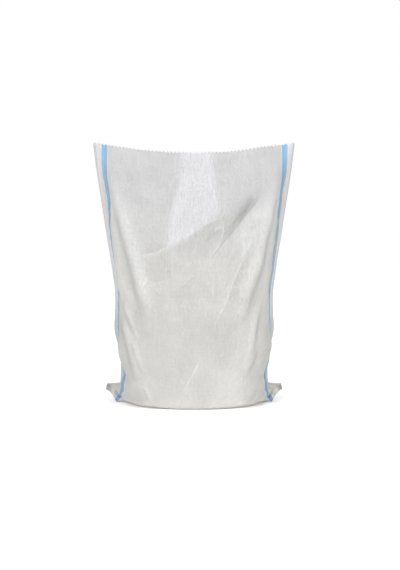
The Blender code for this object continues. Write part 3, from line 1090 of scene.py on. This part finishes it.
        # Tape by tape, streak by streak and in soft clouds the cloth is lighter or darker.
        swings = (
            (cloth.tone, self.tone_swing), (cloth.warp, self.warp_swing), (cloth.weft, self.weft_swing),
            (cloth.mottle, self.mottle_swing), (self.clouds.draw(tree), self.cloud_swing),
        )
        lights = [add_node(tree, "MapRange", {"Value": value, "To Min": 1 - swing, "To Max": 1 + swing})
                  for value, swing in swings]
        # Where the crinkles show, their tops get a painted highlight and the cloth between them painted
        # shade.
        low, high = self.crinkle_painted_light
        painted_crinkle_light = add_node(tree, "MapRange", {"Value": cloth.ridge, "To Min": low, "To Max": high})
        lights.append(add_node(tree, "Mix", {0: cloth.busy, 2: 1.0, 3: painted_crinkle_light}))
        lights.append(add_node(tree, "MapRange", {"Value": cloth.height, "From Max": 0.35,
                                                  "To Min": self.slit_light, "To Max": 1.0}))

        # Painted light and shade from the marks, and painted light that the foot gets back from the floor.
        patches = add_node(tree, "Attribute", attribute_name=PAINTED_TONE_NAME, output="Fac")
        foot = add_node(tree, "MapRange", {"Value": cloth.up, "From Max": self.foot_light_top,
                                           "To Min": self.foot_light, "To Max": 1.0})
        lights.append(add_node(tree, "Math", {0: patches, 1: foot}, operation="ADD"))
        light = lights[0]
        for other in lights[1:]:
            light = add_node(tree, "Math", {0: light, 1: other}, operation="MULTIPLY")
        return light

    def plain_cloth(
        self, tree: bpy.types.NodeTree, cloth: Patterns, light: bpy.types.NodeSocket
    ) -> bpy.types.NodeSocket:
        """Colours the white cloth, its bright band and its creases.

        Args:
            tree: The material's nodes.
            cloth: The cloth's patterns.
            light: How light it is.

        Returns:
            The colour.
        """
        high, low = self.warm_fall
        warm = add_node(tree, "MapRange", {"Value": cloth.up, "From Min": high, "From Max": low})
        colour = add_node(tree, "Mix", {0: warm, 6: linear(self.cloth_high), 7: linear(self.cloth_low)}, 2,
                          data_type="RGBA")
        colour = add_node(tree, "Mix", {0: cloth.band, 6: colour, 7: linear(self.band_painted_light)}, 2,
                          data_type="RGBA")
        shaded = add_node(tree, "VectorMath", {0: colour, "Scale": light}, operation="SCALE")

        # Sharp creases turn white under stress; they and the proud sides of laps get uneven painted
        # highlights.
        mark = add_node(tree, "Attribute", attribute_name=WHITE_AND_HIGHLIGHT_NAME, output="Fac")
        spots = add_node(tree, "Math", {0: cloth.crinkle, 1: cloth.mottle}, operation="ADD")
        broken = add_node(tree, "MapRange", {"Value": spots, "From Min": 0.70, "From Max": 1.15,
                                             "To Min": 0.45, "To Max": 1.1})
        white = add_node(tree, "Math", {0: mark, 1: broken}, operation="MULTIPLY", use_clamp=True)
        return add_node(tree, "Mix", {0: white, 6: shaded, 7: linear(self.whitened_and_highlight)}, 2, data_type="RGBA")

    def blue_tapes(
        self, tree: bpy.types.NodeTree, cloth: Patterns, by_tape: bpy.types.NodeSocket
    ) -> bpy.types.NodeSocket:
        """Colours the blue tapes, strong where they lie on top and pale where the weft does.

        Args:
            tree: The material's nodes.
            cloth: The cloth's patterns.
            by_tape: A number for each tape.

        Returns:
            The colour.
        """
        strong = linear(self.stripe_top)
        for colour, high, low in self.stripe_painted_below:
            down = add_node(tree, "MapRange", {"Value": cloth.up, "From Min": high, "From Max": low})
            strong = add_node(tree, "Mix", {0: down, 6: strong, 7: linear(colour)}, 2, data_type="RGBA")
        low, high = self.dye_lights
        dip = add_node(tree, "TexWhiteNoise", {"W": by_tape}, noise_dimensions="1D")
        dye = add_node(tree, "MapRange", {"Value": dip, "To Min": low, "To Max": high})
        dyed = add_node(tree, "VectorMath", {0: strong, "Scale": dye}, operation="SCALE")
        thin = add_node(tree, "MapRange", {"Value": cloth.warp, "From Min": 0.40, "From Max": 0.62,
                                           "To Min": 0.25, "To Max": 0.75})
        weft = add_node(tree, "Mix", {0: thin, 6: dyed, 7: linear(self.stripe_weft)}, 2, data_type="RGBA")
        return add_node(tree, "Mix", {0: cloth.weft_over, 6: dyed, 7: weft}, 2, data_type="RGBA")

    def flange_cloth(
        self, tree: bpy.types.NodeTree, cloth: Patterns, light: bpy.types.NodeSocket
    ) -> bpy.types.NodeSocket:
        """Colours the cloth between a stripe and its side crease, cooler at the waist.

        Args:
            tree: The material's nodes.
            cloth: The cloth's patterns.
            light: How light it is.

        Returns:
            The colour.
        """
        (top, full), (foot, risen) = self.waist_top, self.waist_foot
        below = add_node(tree, "MapRange", {"Value": cloth.up, "From Min": top, "From Max": full,
                                            "To Max": self.flange_share})
        above = add_node(tree, "MapRange", {"Value": cloth.up, "From Min": foot, "From Max": risen})
        waist = add_node(tree, "Math", {0: below, 1: above}, operation="MULTIPLY")
        edge = add_node(tree, "Mix", {0: waist, 6: linear(self.flange), 7: linear(self.flange_pale)}, 2,
                        data_type="RGBA")
        return add_node(tree, "VectorMath", {0: edge, "Scale": light}, operation="SCALE")

    def striped(
        self, tree: bpy.types.NodeTree, cloth: Patterns, light: bpy.types.NodeSocket,
        plain: bpy.types.NodeSocket,
    ) -> bpy.types.NodeSocket:
        """Lays the blue stripes, which run up beside each side crease, over the plain cloth.

        Args:
            tree: The material's nodes.
            cloth: The cloth's patterns.
            light: How light it is.
            plain: The plain cloth's colour.

        Returns:
            The colour of the whole cloth.
        """
        away = add_node(tree, "Attribute", attribute_name=STRIPE_NAME, output="Fac")
        half_on = add_node(tree, "Math", {0: away, 1: self.stripe_tape / 2}, operation="ADD")
        by_tape = add_node(tree, "Math", {0: half_on, 1: self.stripe_tape}, operation="SNAP")
        off = add_node(tree, "Math", {0: by_tape}, operation="ABSOLUTE")
        in_stripe = add_node(tree, "Math", {0: off, 1: self.stripe_half}, operation="LESS_THAN")
        in_fringe = add_node(tree, "Math", {0: off, 1: self.stripe_half + self.stripe_tape},
                             operation="LESS_THAN")
        start, full = self.flange_start
        in_flange = add_node(tree, "MapRange", {"Value": away, "From Min": start, "From Max": full,
                                                "To Max": self.flange_share})
        blue = self.blue_tapes(tree, cloth, by_tape)
        blue = add_node(tree, "VectorMath", {0: blue, "Scale": light}, operation="SCALE")
        fringe = add_node(tree, "VectorMath", {0: linear(self.stripe_fringe)[:3], "Scale": light},
                          operation="SCALE")
        flange = self.flange_cloth(tree, cloth, light)
        colour = add_node(tree, "Mix", {0: in_flange, 6: plain, 7: flange}, 2, data_type="RGBA")
        colour = add_node(tree, "Mix", {0: in_fringe, 6: colour, 7: fringe}, 2, data_type="RGBA")
        return add_node(tree, "Mix", {0: in_stripe, 6: colour, 7: blue}, 2, data_type="RGBA")

    def relief(self, tree: bpy.types.NodeTree, cloth: Patterns) -> bpy.types.NodeSocket:
        """Raises the tapes from the slits, and the crinkles, deeper where they show, and dents the cloth.

        Args:
            tree: The material's nodes.
            cloth: The cloth's patterns.

        Returns:
            The normal.
        """
        low, high = self.crinkle_depths
        depth = add_node(tree, "MapRange", {"Value": cloth.busy, "To Min": low, "To Max": high})
        woven = add_node(tree, "Bump", {"Height": cloth.height, "Distance": self.tape_height})
        creased = add_node(tree, "Bump", {"Height": cloth.ridge, "Distance": depth, "Normal": woven})
        dented = add_node(tree, "Bump", {"Height": cloth.mottle, "Distance": self.dent_depth,
                                         "Normal": creased})
        return add_node(tree, "Bump", {"Height": cloth.weft, "Distance": self.rib_depth, "Normal": dented})

    def build(self) -> bpy.types.Material:
        """Makes the material.

        Returns:
            The material.
        """
        mat, tree, shader = make_material(CLOTH_SLOT)
        cloth = self.patterns(tree)
        light = self.light(tree, cloth)
        colour = self.striped(tree, cloth, light, self.plain_cloth(tree, cloth, light))
        normal = self.relief(tree, cloth)
        smooth, dull = self.roughness
        rough = add_node(tree, "MapRange", {"Value": cloth.tone, "To Min": smooth, "To Max": dull})
        tree.links.new(colour, shader.inputs["Base Color"])
        tree.links.new(normal, shader.inputs["Normal"])
        tree.links.new(rough, shader.inputs["Roughness"])
        shader.inputs["IOR"].default_value = self.ior
        milky = add_node(tree, "BsdfTranslucent", {"Color": colour, "Normal": normal})
        both = add_node(tree, "MixShader", {0: self.through, 1: shader.outputs[0], 2: milky})
        tree.links.new(both, tree.nodes["Material Output"].inputs["Surface"])
        return mat


@dataclass
class WovenSack:
    """The sack's cloth, from the flat tube to the finished mesh."""

    form: SackForm
    side_columns: int = 24  # on each side of a panel, where the cloth bends most
    side_run: float = 0.060
    middle_columns: int = 86
    foot_rows: int = 30
    foot_run: float = 0.080
    upper_rows: int = 144
    thickness: float = 0.0005
    tooth_pitch: float = 0.010
    tooth_depth: float = 0.0052
    tooth_uneven: float = 0.5  # by what share the teeth differ
    gather_near: float = 0.014  # how near a pressed fold the threads are drawn onto it
    gather_power: float = 0.8  # the lower, the fewer threads are drawn all the way
    rim_free: float = 0.012  # threads this near the rim stay where they are
    crumples: tuple[Crumple, ...] = (
        Crumple(0.120, 0.0060, 2.2, 3.1),
        Crumple(0.045, 0.0030, 2.4, 11.7),
        Crumple(0.022, 0.0016, 2.2, 23.9),
        Crumple(0.060, 0.0026, 1.4, 41.3, crisp=True),
        Crumple(0.026, 0.0015, 1.6, 57.1, crisp=True),
    )
    # Crumples under this size are deepest where the sack is handled most: how high, over what run, how much.
    fine_crumple: float = 0.05
    handled_z: float = 0.33
    handled_run: float = 0.13
    handled_strength: tuple[float, float] = (0.75, 0.6)  # everywhere, and on top of that at its middle
    # Painted shade in the lee of folds.
    painted_lee_shade: float = -0.16  # how much darker the cloth is in the lee of a fold
    # Painted light beside the stripes and on the flange, which lies between a stripe and its side crease.
    painted_beside_light: float = 0.085
    beside_middle: float = 0.068
    beside_width: float = 0.020
    beside_run: tuple[float, float, float, float] = (0.25, 0.33, 0.56, 0.64)  # the heights of it
    flange_edges: tuple[float, float, float, float] = (0.002, 0.012, 0.016, 0.024)
    painted_edge_light: float = 0.10
    edge_rise: tuple[float, float] = (0.20, 0.30)
    painted_flange_top_light: float = 0.12
    flange_top_rise: tuple[float, float] = (0.50, 0.66)
    # How far in from a crease, and how high up, the folds reach their full height.
    ease_run: float = 0.030
    ease_least: float = 0.10
    ease_rise: float = 0.02
    # Where the ear gives way to the body: how high up, and how far in.
    ear_rise: tuple[float, float] = (0.045, 0.065)
    ear_run: tuple[float, float] = (0.050, 0.080)

    @property
    def panel_columns(self) -> int:
        """How many columns a panel has."""
        return 2 * self.side_columns + self.middle_columns

    @property
    def rows(self) -> int:
        """How many rows the tube has."""
        return self.foot_rows + self.upper_rows

    def panel_place(self, column: np.ndarray) -> np.ndarray:
        """Finds how far across its panel a column lies.

        Args:
            column: The column's number, counted from the left crease.

        Returns:
            How far across it lies. The columns are closest together beside the creases.
        """
        half = self.form.half_panel
        keys = [0, self.side_columns, self.side_columns + self.middle_columns, self.panel_columns]
        return np.interp(column, keys, [-half, self.side_run - half, half - self.side_run, half])

    def lay_out(self) -> tuple[bmesh.types.BMesh, np.ndarray]:
        """Lays out the cloth as a grid of quads.

        Returns:
            The grid, and for each of its vertices how far it lies across its panel, how far up, and its side.
        """
        bm = bmesh.new()
        columns = 2 * self.panel_columns
        bmesh.ops.create_grid(bm, x_segments=columns, y_segments=self.rows, size=0.5, calc_uvs=True)
        unit = np.array([vert.co[:2] for vert in bm.verts]) + 0.5
        column = np.round(unit[:, 0] * columns)
        row = np.round(unit[:, 1] * self.rows)
        front = column <= self.panel_columns
        across = self.panel_place(np.where(front, column, columns - column))
        run = [0, self.foot_rows, self.rows]
        up = np.interp(row, run, [0, self.foot_run, self.form.length])
        creased = (column % self.panel_columns) == 0
        side = np.where(creased, 0.0, np.where(front, Side.FRONT.value, Side.BACK.value))
        return bm, np.stack([across, up, side], axis=-1)

    def draw_onto_folds(self, flat: np.ndarray) -> None:
        """Gathers the grid's points towards a pressed fold, within the cloth, so that the fold is sharp.

        Args:
            flat: For each point how far it lies across its panel, how far up, and its side. It is changed.
        """
        lowest, highest = self.foot_run, self.form.length - self.rim_free
        for folds, there in ((FRONT_FOLDS, flat[:, 2] < -0.5), (BACK_FOLDS, flat[:, 2] > 0.5)):
            y_sign = np.where(flat[:, 2] > 0.5, 1.0, -1.0)
            for fold in (f for f in folds if f.pressed):
                spots = self.form.place(flat[:, 0], flat[:, 1], y_sign)
                signed, share, way_x, way_z = fold.distances(spots[:, 0], spots[:, 2])
                inside = (share > 0.001) & (share < 0.999)
                free = (flat[:, 1] > lowest) & (flat[:, 1] < highest)
                close = there & inside & free & (np.abs(signed) < self.gather_near)
                pull = 1 - (np.abs(signed[close]) / self.gather_near) ** self.gather_power
                flat[close, 0] += way_x[close] * pull
                flat[close, 1] += way_z[close] * pull

    def stand(self) -> bpy.types.Object:
        """Stands the flat tube up and sews its bottom.

        Returns:
            The cloth's object, uncreased.
        """
        bm, flat = self.lay_out()
        self.draw_onto_folds(flat)
        back = flat[:, 2] > 0.5
        spots = self.form.place(flat[:, 0], flat[:, 1], np.where(back, 1.0, -1.0))
        columns = 2 * self.panel_columns
        layer = bm.verts.layers.float_vector.new(FLAT_NAME)
        uv = bm.loops.layers.uv.verify()
        bm.verts.ensure_lookup_table()
        for vert, row in zip(bm.verts, flat):
            vert[layer] = row
        for face in bm.faces:
            for loop in face.loops:
                across, up, _ = flat[loop.vert.index]
                round_tube = across + self.form.half_panel
                if (face.calc_center_median().x + 0.5) * columns > self.panel_columns:
                    round_tube = 2 * self.form.panel_width - round_tube
                loop[uv].uv = (round_tube, up)
        for vert, place in zip(bm.verts, spots):
            vert.co = place
        bmesh.ops.remove_doubles(bm, verts=bm.verts, dist=1e-6)
        bmesh.ops.recalc_face_normals(bm, faces=bm.faces)
        ob = make_object("sack_cloth", bm)
        ob.data.uv_layers[0].name = UV_NAME
        return ob

    def tones(
        self, x: np.ndarray, z: np.ndarray, flat: np.ndarray, lee: np.ndarray
    ) -> tuple[np.ndarray, np.ndarray]:
        """Finds where the cloth is lighter or darker, and where it is crushed.

        Args:
            x: The points' x.
            z: Their heights.
            flat: For each point how far it lies across its panel, how far up, and its side.
            lee: How far it lies in the lee of a fold.

        Returns:
            How far painted light lightens each point and painted shade darkens it, and how crushed it is.
        """
        # Painted shade in the lee of folds, painted light and shade in the patches, and painted light beside
        # the stripes.
        tone, crushed = self.painted_lee_shade * lee, np.zeros(len(x))
        for patch in PATCHES:
            inside = inside_distance(patch.outline, x, z)
            covered = smooth_step(-patch.soft / 2, patch.soft / 2, inside) * (flat[:, 2] < 0.5)
            tone += patch.light * covered
            crushed = np.maximum(crushed, patch.crushed * covered)
        from_crease = self.form.half_panel - np.abs(flat[:, 0])
        beside = np.exp(-(((from_crease - self.beside_middle) / self.beside_width) ** 2))
        foot, risen, fall, top = self.beside_run
        tone += self.painted_beside_light * beside * smooth_step(foot, risen, z) * (1 - smooth_step(fall, top, z))
        outer, full, until, inner = self.flange_edges
        flange = smooth_step(outer, full, from_crease) * (1 - smooth_step(until, inner, from_crease))
        bare_edge = 0.4  # the crease itself catches less of the light than the flange
        edge = (bare_edge + (1 - bare_edge) * flange) * (from_crease < inner)
        tone += edge * self.painted_edge_light * smooth_step(*self.edge_rise, z)
        tone += flange * self.painted_flange_top_light * smooth_step(*self.flange_top_rise, z)
        return tone, crushed

    def ease(self, from_crease: np.ndarray, z: np.ndarray) -> np.ndarray:
        """Finds what share of their height the folds have: less beside the creases and at the floor.

        Args:
            from_crease: How far the points lie in from their side crease.
            z: Their heights.

        Returns:
            The share, which is 0 in the ears, where the cloth is pressed together.
        """
        ease = np.clip(from_crease / self.ease_run, self.ease_least, 1) * np.clip(z / self.ease_rise, 0, 1)
        above_ear, inside_ear = smooth_step(*self.ear_rise, z), smooth_step(*self.ear_run, from_crease)
        return ease * (1 - (1 - above_ear) * (1 - inside_ear))

    def crease(self, mesh: bpy.types.Mesh) -> None:
        """Presses the folds and the crumpling into the cloth, along its normals, and marks them.

        Args:
            mesh: The standing cloth.
        """
        count = len(mesh.vertices)
        places, flat, normals = (np.empty(count * 3) for _ in range(3))
        mesh.vertices.foreach_get("co", places)
        mesh.attributes[FLAT_NAME].data.foreach_get("vector", flat)
        mesh.vertex_normals.foreach_get("vector", normals)
        places, normals, flat = (a.reshape(-1, 3) for a in (places, normals, flat))
        x, z = places[:, 0], places[:, 2]
        lift, white, lee = np.zeros(count), np.zeros(count), np.zeros(count)
        for folds, there in ((FRONT_FOLDS, flat[:, 2] < 0.5), (BACK_FOLDS, flat[:, 2] > -0.5)):
            for fold in folds:
                lift += np.where(there, fold.relief(x, z), 0)
                whiter, darker = fold.marks(x, z)
                white = np.maximum(white, np.where(there, whiter, 0))
                lee = np.maximum(lee, np.where(there, darker, 0))
        least, more = self.handled_strength
        handled = least + more * np.exp(-(((z - self.handled_z) / self.handled_run) ** 2))
        for crumple in self.crumples:
            strength = handled if crumple.wave < self.fine_crumple else 1.0
            lift += strength * np.array([crumple.relief(*row) for row in flat])
        tone, crushed = self.tones(x, z, flat, lee)
        from_crease = self.form.half_panel - np.abs(flat[:, 0])
        places += normals * (lift * self.ease(from_crease, z))[:, None]
        mesh.vertices.foreach_set("co", places.ravel())

        # From here on x and z are those of the creased cloth.
        front = flat[:, 2] < 0.5
        # The marks: painted highlights on white folds, painted light and shade, crushing, the band, the
        # stripes.
        marks = {
            WHITE_AND_HIGHLIGHT_NAME: white,
            PAINTED_TONE_NAME: tone,
            CRUSHED_NAME: crushed,
            BAND_NAME: np.where(front, inside_distance(BAND, x, z), -1.0),
            STRIPE_NAME: np.where(front, self.form.from_stripe(flat[:, 0], flat[:, 1]), 1.0),
        }
        for name, values in marks.items():
            mesh.attributes.new(name, "FLOAT", "POINT").data.foreach_set("value", values)
        mesh.update()

    def pink(self, mesh: bpy.types.Mesh) -> None:
        """Cuts the mouth's edge to a zigzag.

        Args:
            mesh: The creased cloth.
        """
        top = self.form.length - 1e-4
        for vert, flat in zip(mesh.vertices, mesh.attributes[FLAT_NAME].data):
            across, up, side = flat.vector
            if up > top:
                turn = abs((across / self.tooth_pitch) % 1.0 - 0.5) * 2 - 0.5
                uneven = 1 + self.tooth_uneven * noise.noise(Vector((across * 40, side * 5, 2.5)))
                vert.co.z += self.tooth_depth * turn * uneven
        mesh.update()

    def build(self) -> bpy.types.Object:
        """Makes the cloth's object, with a wall.

        Returns:
            The object.
        """
        ob = self.stand()
        self.crease(ob.data)
        self.pink(ob.data)
        wall = ob.modifiers.new("wall", "SOLIDIFY")
        wall.thickness = self.thickness
        wall.offset = -1
        ob.data.shade_smooth()
        return ob


@dataclass
class BottomHem:
    """The bottom edge of the tube, rolled over: upright in the ears and folded back flat under the base."""

    form: SackForm
    half_upright: float = 0.0015
    half_flat: float = 0.0012
    flat_z: float = 0.0020
    floor_gap: float = 0.0002
    edge_y: float = -0.001  # the front edge of the flat part
    flat_run: tuple[float, float] = (0.048, 0.082)  # how far in from a crease the hem turns flat
    boxy: float = 0.55  # how square the roll is: 1 is round
    shade: float = -0.06  # the rolled cloth is darker
    tip_shade: float = -0.40  # and its tips more so
    tip_run: float = 0.016
    around: int = 12
    along: int = 300
    across: np.ndarray = field(init=False, repr=False)
    centre: np.ndarray = field(init=False, repr=False)
    down: np.ndarray = field(init=False, repr=False)
    out: np.ndarray = field(init=False, repr=False)
    half: np.ndarray = field(init=False, repr=False)

    def __post_init__(self) -> None:
        """Works out where the hem runs, which way its width goes and which way its front faces."""
        half_panel = self.form.half_panel
        self.across = np.linspace(-half_panel, half_panel, self.along + 1)
        low, high = self.form.hem_lines(self.across)
        fold = smooth_step(*self.flat_run, half_panel - np.abs(self.across))[:, None]
        level = np.ones_like(self.across)
        flat_edge = np.stack([low[:, 0], self.edge_y * level, self.flat_z * level], axis=-1)
        upper = high * (1 - fold) + flat_edge * fold
        down = (low - high) / np.maximum(np.linalg.norm(low - high, axis=-1), 1e-6)[:, None]
        down = down * (1 - fold) + np.array([0.0, 1.0, 0.0]) * fold
        self.down = down / np.linalg.norm(down, axis=-1)[:, None]
        self.half = (self.half_upright * (1 - fold) + self.half_flat * fold)[:, 0]
        lowest = np.maximum((upper + self.down * self.form.hem)[:, 2], self.flat_z)
        self.centre = upper + self.down * self.form.hem / 2
        self.centre[:, 2] = (upper[:, 2] + lowest) / 2
        run = np.gradient(self.centre, axis=0)
        out = np.cross(run, self.down)
        self.out = -out / np.linalg.norm(out, axis=-1)[:, None]

    def build(self) -> bpy.types.Object:
        """Makes the hem as one closed flattened roll.

        Returns:
            The object.
        """
        bm = bmesh.new()
        bmesh.ops.create_grid(bm, x_segments=self.along, y_segments=self.around, size=0.5, calc_uvs=True)
        unit = np.array([vert.co[:2] for vert in bm.verts]) + 0.5
        i = np.round(unit[:, 0] * self.along).astype(int)
        turn = 2 * math.pi * np.round(unit[:, 1] * self.around) / self.around
        wide, thick = (np.sign(v) * np.abs(v) ** self.boxy for v in (np.cos(turn), np.sin(turn)))
        spots = self.centre[i] + self.down[i] * (wide * self.form.hem / 2)[:, None]
        spots += self.out[i] * (thick * self.half[i])[:, None]
        spots[:, 2] = np.maximum(spots[:, 2], self.floor_gap)
        uv = bm.loops.layers.uv.verify()
        for face in bm.faces:
            back = face.calc_center_median().y > 0
            for loop in face.loops:
                k = loop.vert.index
                round_tube = self.across[i[k]] + self.form.half_panel
                round_tube = 2 * self.form.panel_width - round_tube if back else round_tube
                loop[uv].uv = (round_tube, self.form.hem * (1 - wide[k]) / 2)
        marks = {name: bm.verts.layers.float.new(name) for name in MARKS}
        from_stripe = self.form.from_stripe(self.across, np.zeros_like(self.across))
        from_tip = self.form.half_panel - np.abs(self.across)
        tone = self.shade + self.tip_shade * np.maximum(0.0, 1 - from_tip / self.tip_run)
        for vert, spot, column in zip(bm.verts, spots, i):
            vert.co = spot
            vert[marks[BAND_NAME]] = -1.0
            vert[marks[PAINTED_TONE_NAME]] = tone[column]
            vert[marks[STRIPE_NAME]] = from_stripe[column]
        bmesh.ops.remove_doubles(bm, verts=bm.verts, dist=1e-6)
        bmesh.ops.holes_fill(bm, edges=bm.edges, sides=self.around + 2)
        bmesh.ops.recalc_face_normals(bm, faces=bm.faces)
        ob = make_object("bottom_hem", bm)
        ob.data.uv_layers[0].name = UV_NAME
        ob.data.shade_smooth()
        return ob


@dataclass
class ChainStitches:
    """The thread that closes the hem: straight stitches on the front and a chain of loops on the back."""

    hem: BottomHem
    pitch: float = 0.007
    length: float = 0.0056
    radius: float = 0.00055
    from_tip: float = 0.004
    sunk: float = 0.1  # how deep the thread lies in the cloth, in its radii
    loop_splay: float = 9  # degrees that each leg of a loop leans
    loop_aside: float = 1.3  # how far it lies from the middle, in its radii
    segments: int = 6

    def capsule(self, bm: bmesh.types.BMesh, place: Matrix) -> None:
        """Adds one short round-ended length of thread.

        Args:
            bm: The mesh that takes it.
            place: Where its middle lies, and how it is turned.
        """
        made = bmesh.ops.create_uvsphere(
            bm, u_segments=self.segments, v_segments=self.segments, radius=self.radius
        )
        stretch = self.length / 2 - self.radius
        for vert in made["verts"]:
            vert.co.z += math.copysign(stretch, vert.co.z) if abs(vert.co.z) > 1e-6 else 0.0
        bmesh.ops.transform(bm, matrix=place, verts=made["verts"])

    def build(self) -> bpy.types.Object:
        """Sews the stitches along the middle of the hem.

        Returns:
            The object.
        """
        hem = self.hem
        passed = np.concatenate([[0], np.cumsum(np.linalg.norm(np.diff(hem.centre, axis=0), axis=-1))])
        bm = bmesh.new()
        count = int((passed[-1] - 2 * self.from_tip) / self.pitch)
        for k in range(count):
            at = self.from_tip + self.pitch * (k + 0.5)
            centre, down, out = (
                Vector([float(np.interp(at, passed, table[:, axis])) for axis in range(3)])
                for table in (hem.centre, hem.down, hem.out)
            )
            lift = float(np.interp(at, passed, hem.half)) - self.radius * self.sunk
            run = down.cross(out).normalized()
            turn = Matrix((down, out, run)).transposed().to_4x4()
            self.capsule(bm, Matrix.Translation(centre + out * lift) @ turn)
            for splay in (-1, 1):
                lean = Matrix.Rotation(math.radians(self.loop_splay * splay), 4, "Y")
                aside = down * self.radius * self.loop_aside * splay
                self.capsule(bm, Matrix.Translation(centre - out * lift + aside) @ turn @ lean)
        ob = make_object("chain_stitches", bm)
        ob.data.shade_smooth()
        return ob


def thread_material() -> bpy.types.Material:
    """Makes the sewing thread: soft, dull and off-white, with the slanted ridges of its twist.

    Returns:
        The material.
    """
    mat, tree, shader = make_material(THREAD_SLOT)
    place = add_node(tree, "TexCoord", output="Object")
    twist = add_node(tree, "TexWave", {"Vector": place, "Scale": 300.0, "Distortion": 1.5}, 1,
                     bands_direction="DIAGONAL")
    fuzz = add_node(tree, "TexNoise", {"Vector": place, "Scale": 900.0, "Detail": 3.0})
    # The twist's hollows get painted shade and its ridges a painted highlight.
    hollow, ridge = linear("c9c8c1"), linear("f1f0ea")
    twist_painted_shade = add_node(tree, "Mix", {0: twist, 6: hollow, 7: ridge}, 2, data_type="RGBA")
    light = add_node(tree, "MapRange", {"Value": fuzz, "To Min": 0.88, "To Max": 1.08})
    colour = add_node(tree, "VectorMath", {0: twist_painted_shade, "Scale": light}, operation="SCALE")
    ridges = add_node(tree, "Bump", {"Height": twist, "Distance": 0.0002})
    tree.links.new(colour, shader.inputs["Base Color"])
    tree.links.new(ridges, shader.inputs["Normal"])
    shader.inputs["Roughness"].default_value = 0.75
    shader.inputs["Sheen Weight"].default_value = 0.2
    return mat


@dataclass
class Studio:
    """The camera, the floor and the light. The floor and the light stay plain."""

    distance: float = 2.90
    eye_z: float = 0.50
    aim: tuple[float, float, float] = (0.0164, 0.0, 0.323)
    view_height: float = 1.5595  # metres seen from the top of the picture to its bottom, at the aim
    sensor: float = 36.0
    room_light: float = 0.31
    floor_glow: float = 0.12  # a light table, so that the floor shows no broad shadows
    floor_grey: float = 0.96
    floor_z: float = -0.0006
    floor_half: float = 6
    # Each lamp's name, its degrees to the right and above the floor, its irradiance, and the angle it fills.
    lamps: tuple[tuple[str, float, float, float, float], ...] = (
        ("key", -10, 30, 0.96, 22),
        ("left fill", -72, 20, 0.58, 50),
        ("right fill", 72, 20, 0.66, 50),
        ("top", 0, 78, 1.80, 40),
    )

    def camera(self) -> bpy.types.Object:
        """Sets the camera at the photograph's viewing angle.

        Returns:
            The camera.
        """
        data = bpy.data.cameras.new("view")
        cam = bpy.data.objects.new("view", data)
        bpy.context.collection.objects.link(cam)
        aim = Vector(self.aim)
        cam.location = (aim.x, -self.distance, self.eye_z)
        line = aim - cam.location
        cam.rotation_euler = line.to_track_quat("-Z", "Y").to_euler()
        data.sensor_width = self.sensor
        data.lens = self.sensor * line.length / self.view_height
        bpy.context.scene.camera = cam
        return cam

    def floor(self) -> bpy.types.Object:
        """Lays a plain pale floor.

        Returns:
            The floor.
        """
        bm = bmesh.new()
        bmesh.ops.create_grid(bm, x_segments=1, y_segments=1, size=self.floor_half)
        ob = make_object("floor", bm)
        ob.location.z = self.floor_z
        mat, _, shader = make_material("pale_floor")
        shader.inputs["Base Color"].default_value = (self.floor_grey,) * 3 + (1,)
        shader.inputs["Roughness"].default_value = 0.9
        shader.inputs["Specular IOR Level"].default_value = 0.0
        shader.inputs["Emission Color"].default_value = (1, 1, 1, 1)
        shader.inputs["Emission Strength"].default_value = self.floor_glow
        ob.data.materials.append(mat)
        return ob

    def light(self) -> None:
        """Lights the sack with a pale room and soft lamps, and shows the room white."""
        world = bpy.data.worlds.new("room")
        bpy.context.scene.world = world
        world.use_nodes = True
        tree = world.node_tree
        back = tree.nodes["Background"]
        back.inputs["Color"].default_value = (1, 1, 1, 1)
        seen = add_node(tree, "LightPath", output="Is Camera Ray")
        room = add_node(tree, "MapRange", {"Value": seen, "To Min": self.room_light, "To Max": 1.0})
        tree.links.new(room, back.inputs["Strength"])
        for lamp in self.lamps:
            self.lamp(*lamp)

    def lamp(self, name: str, turn: float, rise: float, strength: float, softness: float) -> None:
        """Adds soft light from one direction.

        Args:
            name: The lamp's name.
            turn: Degrees to the right of the front.
            rise: Degrees above the floor.
            strength: Its irradiance.
            softness: The angle that the lamp fills, in degrees.
        """
        data = bpy.data.lights.new(name, "SUN")
        data.energy = strength
        data.angle = math.radians(softness)
        ob = bpy.data.objects.new(name, data)
        bpy.context.collection.objects.link(ob)
        ob.rotation_euler = (math.radians(90 - rise), 0, math.radians(turn))


def main() -> None:
    """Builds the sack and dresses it."""
    logging.basicConfig(level=logging.INFO, format="%(name)s: %(message)s")
    bpy.context.scene.view_settings.view_transform = "Standard"
    studio = Studio()
    studio.camera()
    studio.floor()
    studio.light()
    form = SackForm()
    woven = WovenLook().build()
    sack = WovenSack(form).build()
    hem = BottomHem(form)
    hem_piece = hem.build()
    for cloth in (sack, hem_piece):
        cloth.data.materials.append(woven)
        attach(cloth, BODY)
        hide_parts(SACK_NODE)
    stitches = ChainStitches(hem).build()
    stitches.data.materials.append(thread_material())
    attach(stitches, BODY)
    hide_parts(THREAD_NODE)
    for piece in (sack, hem_piece, stitches):
        log.info("%s: %d faces", piece.name, len(piece.data.polygons))


if __name__ == "__main__":
    main()
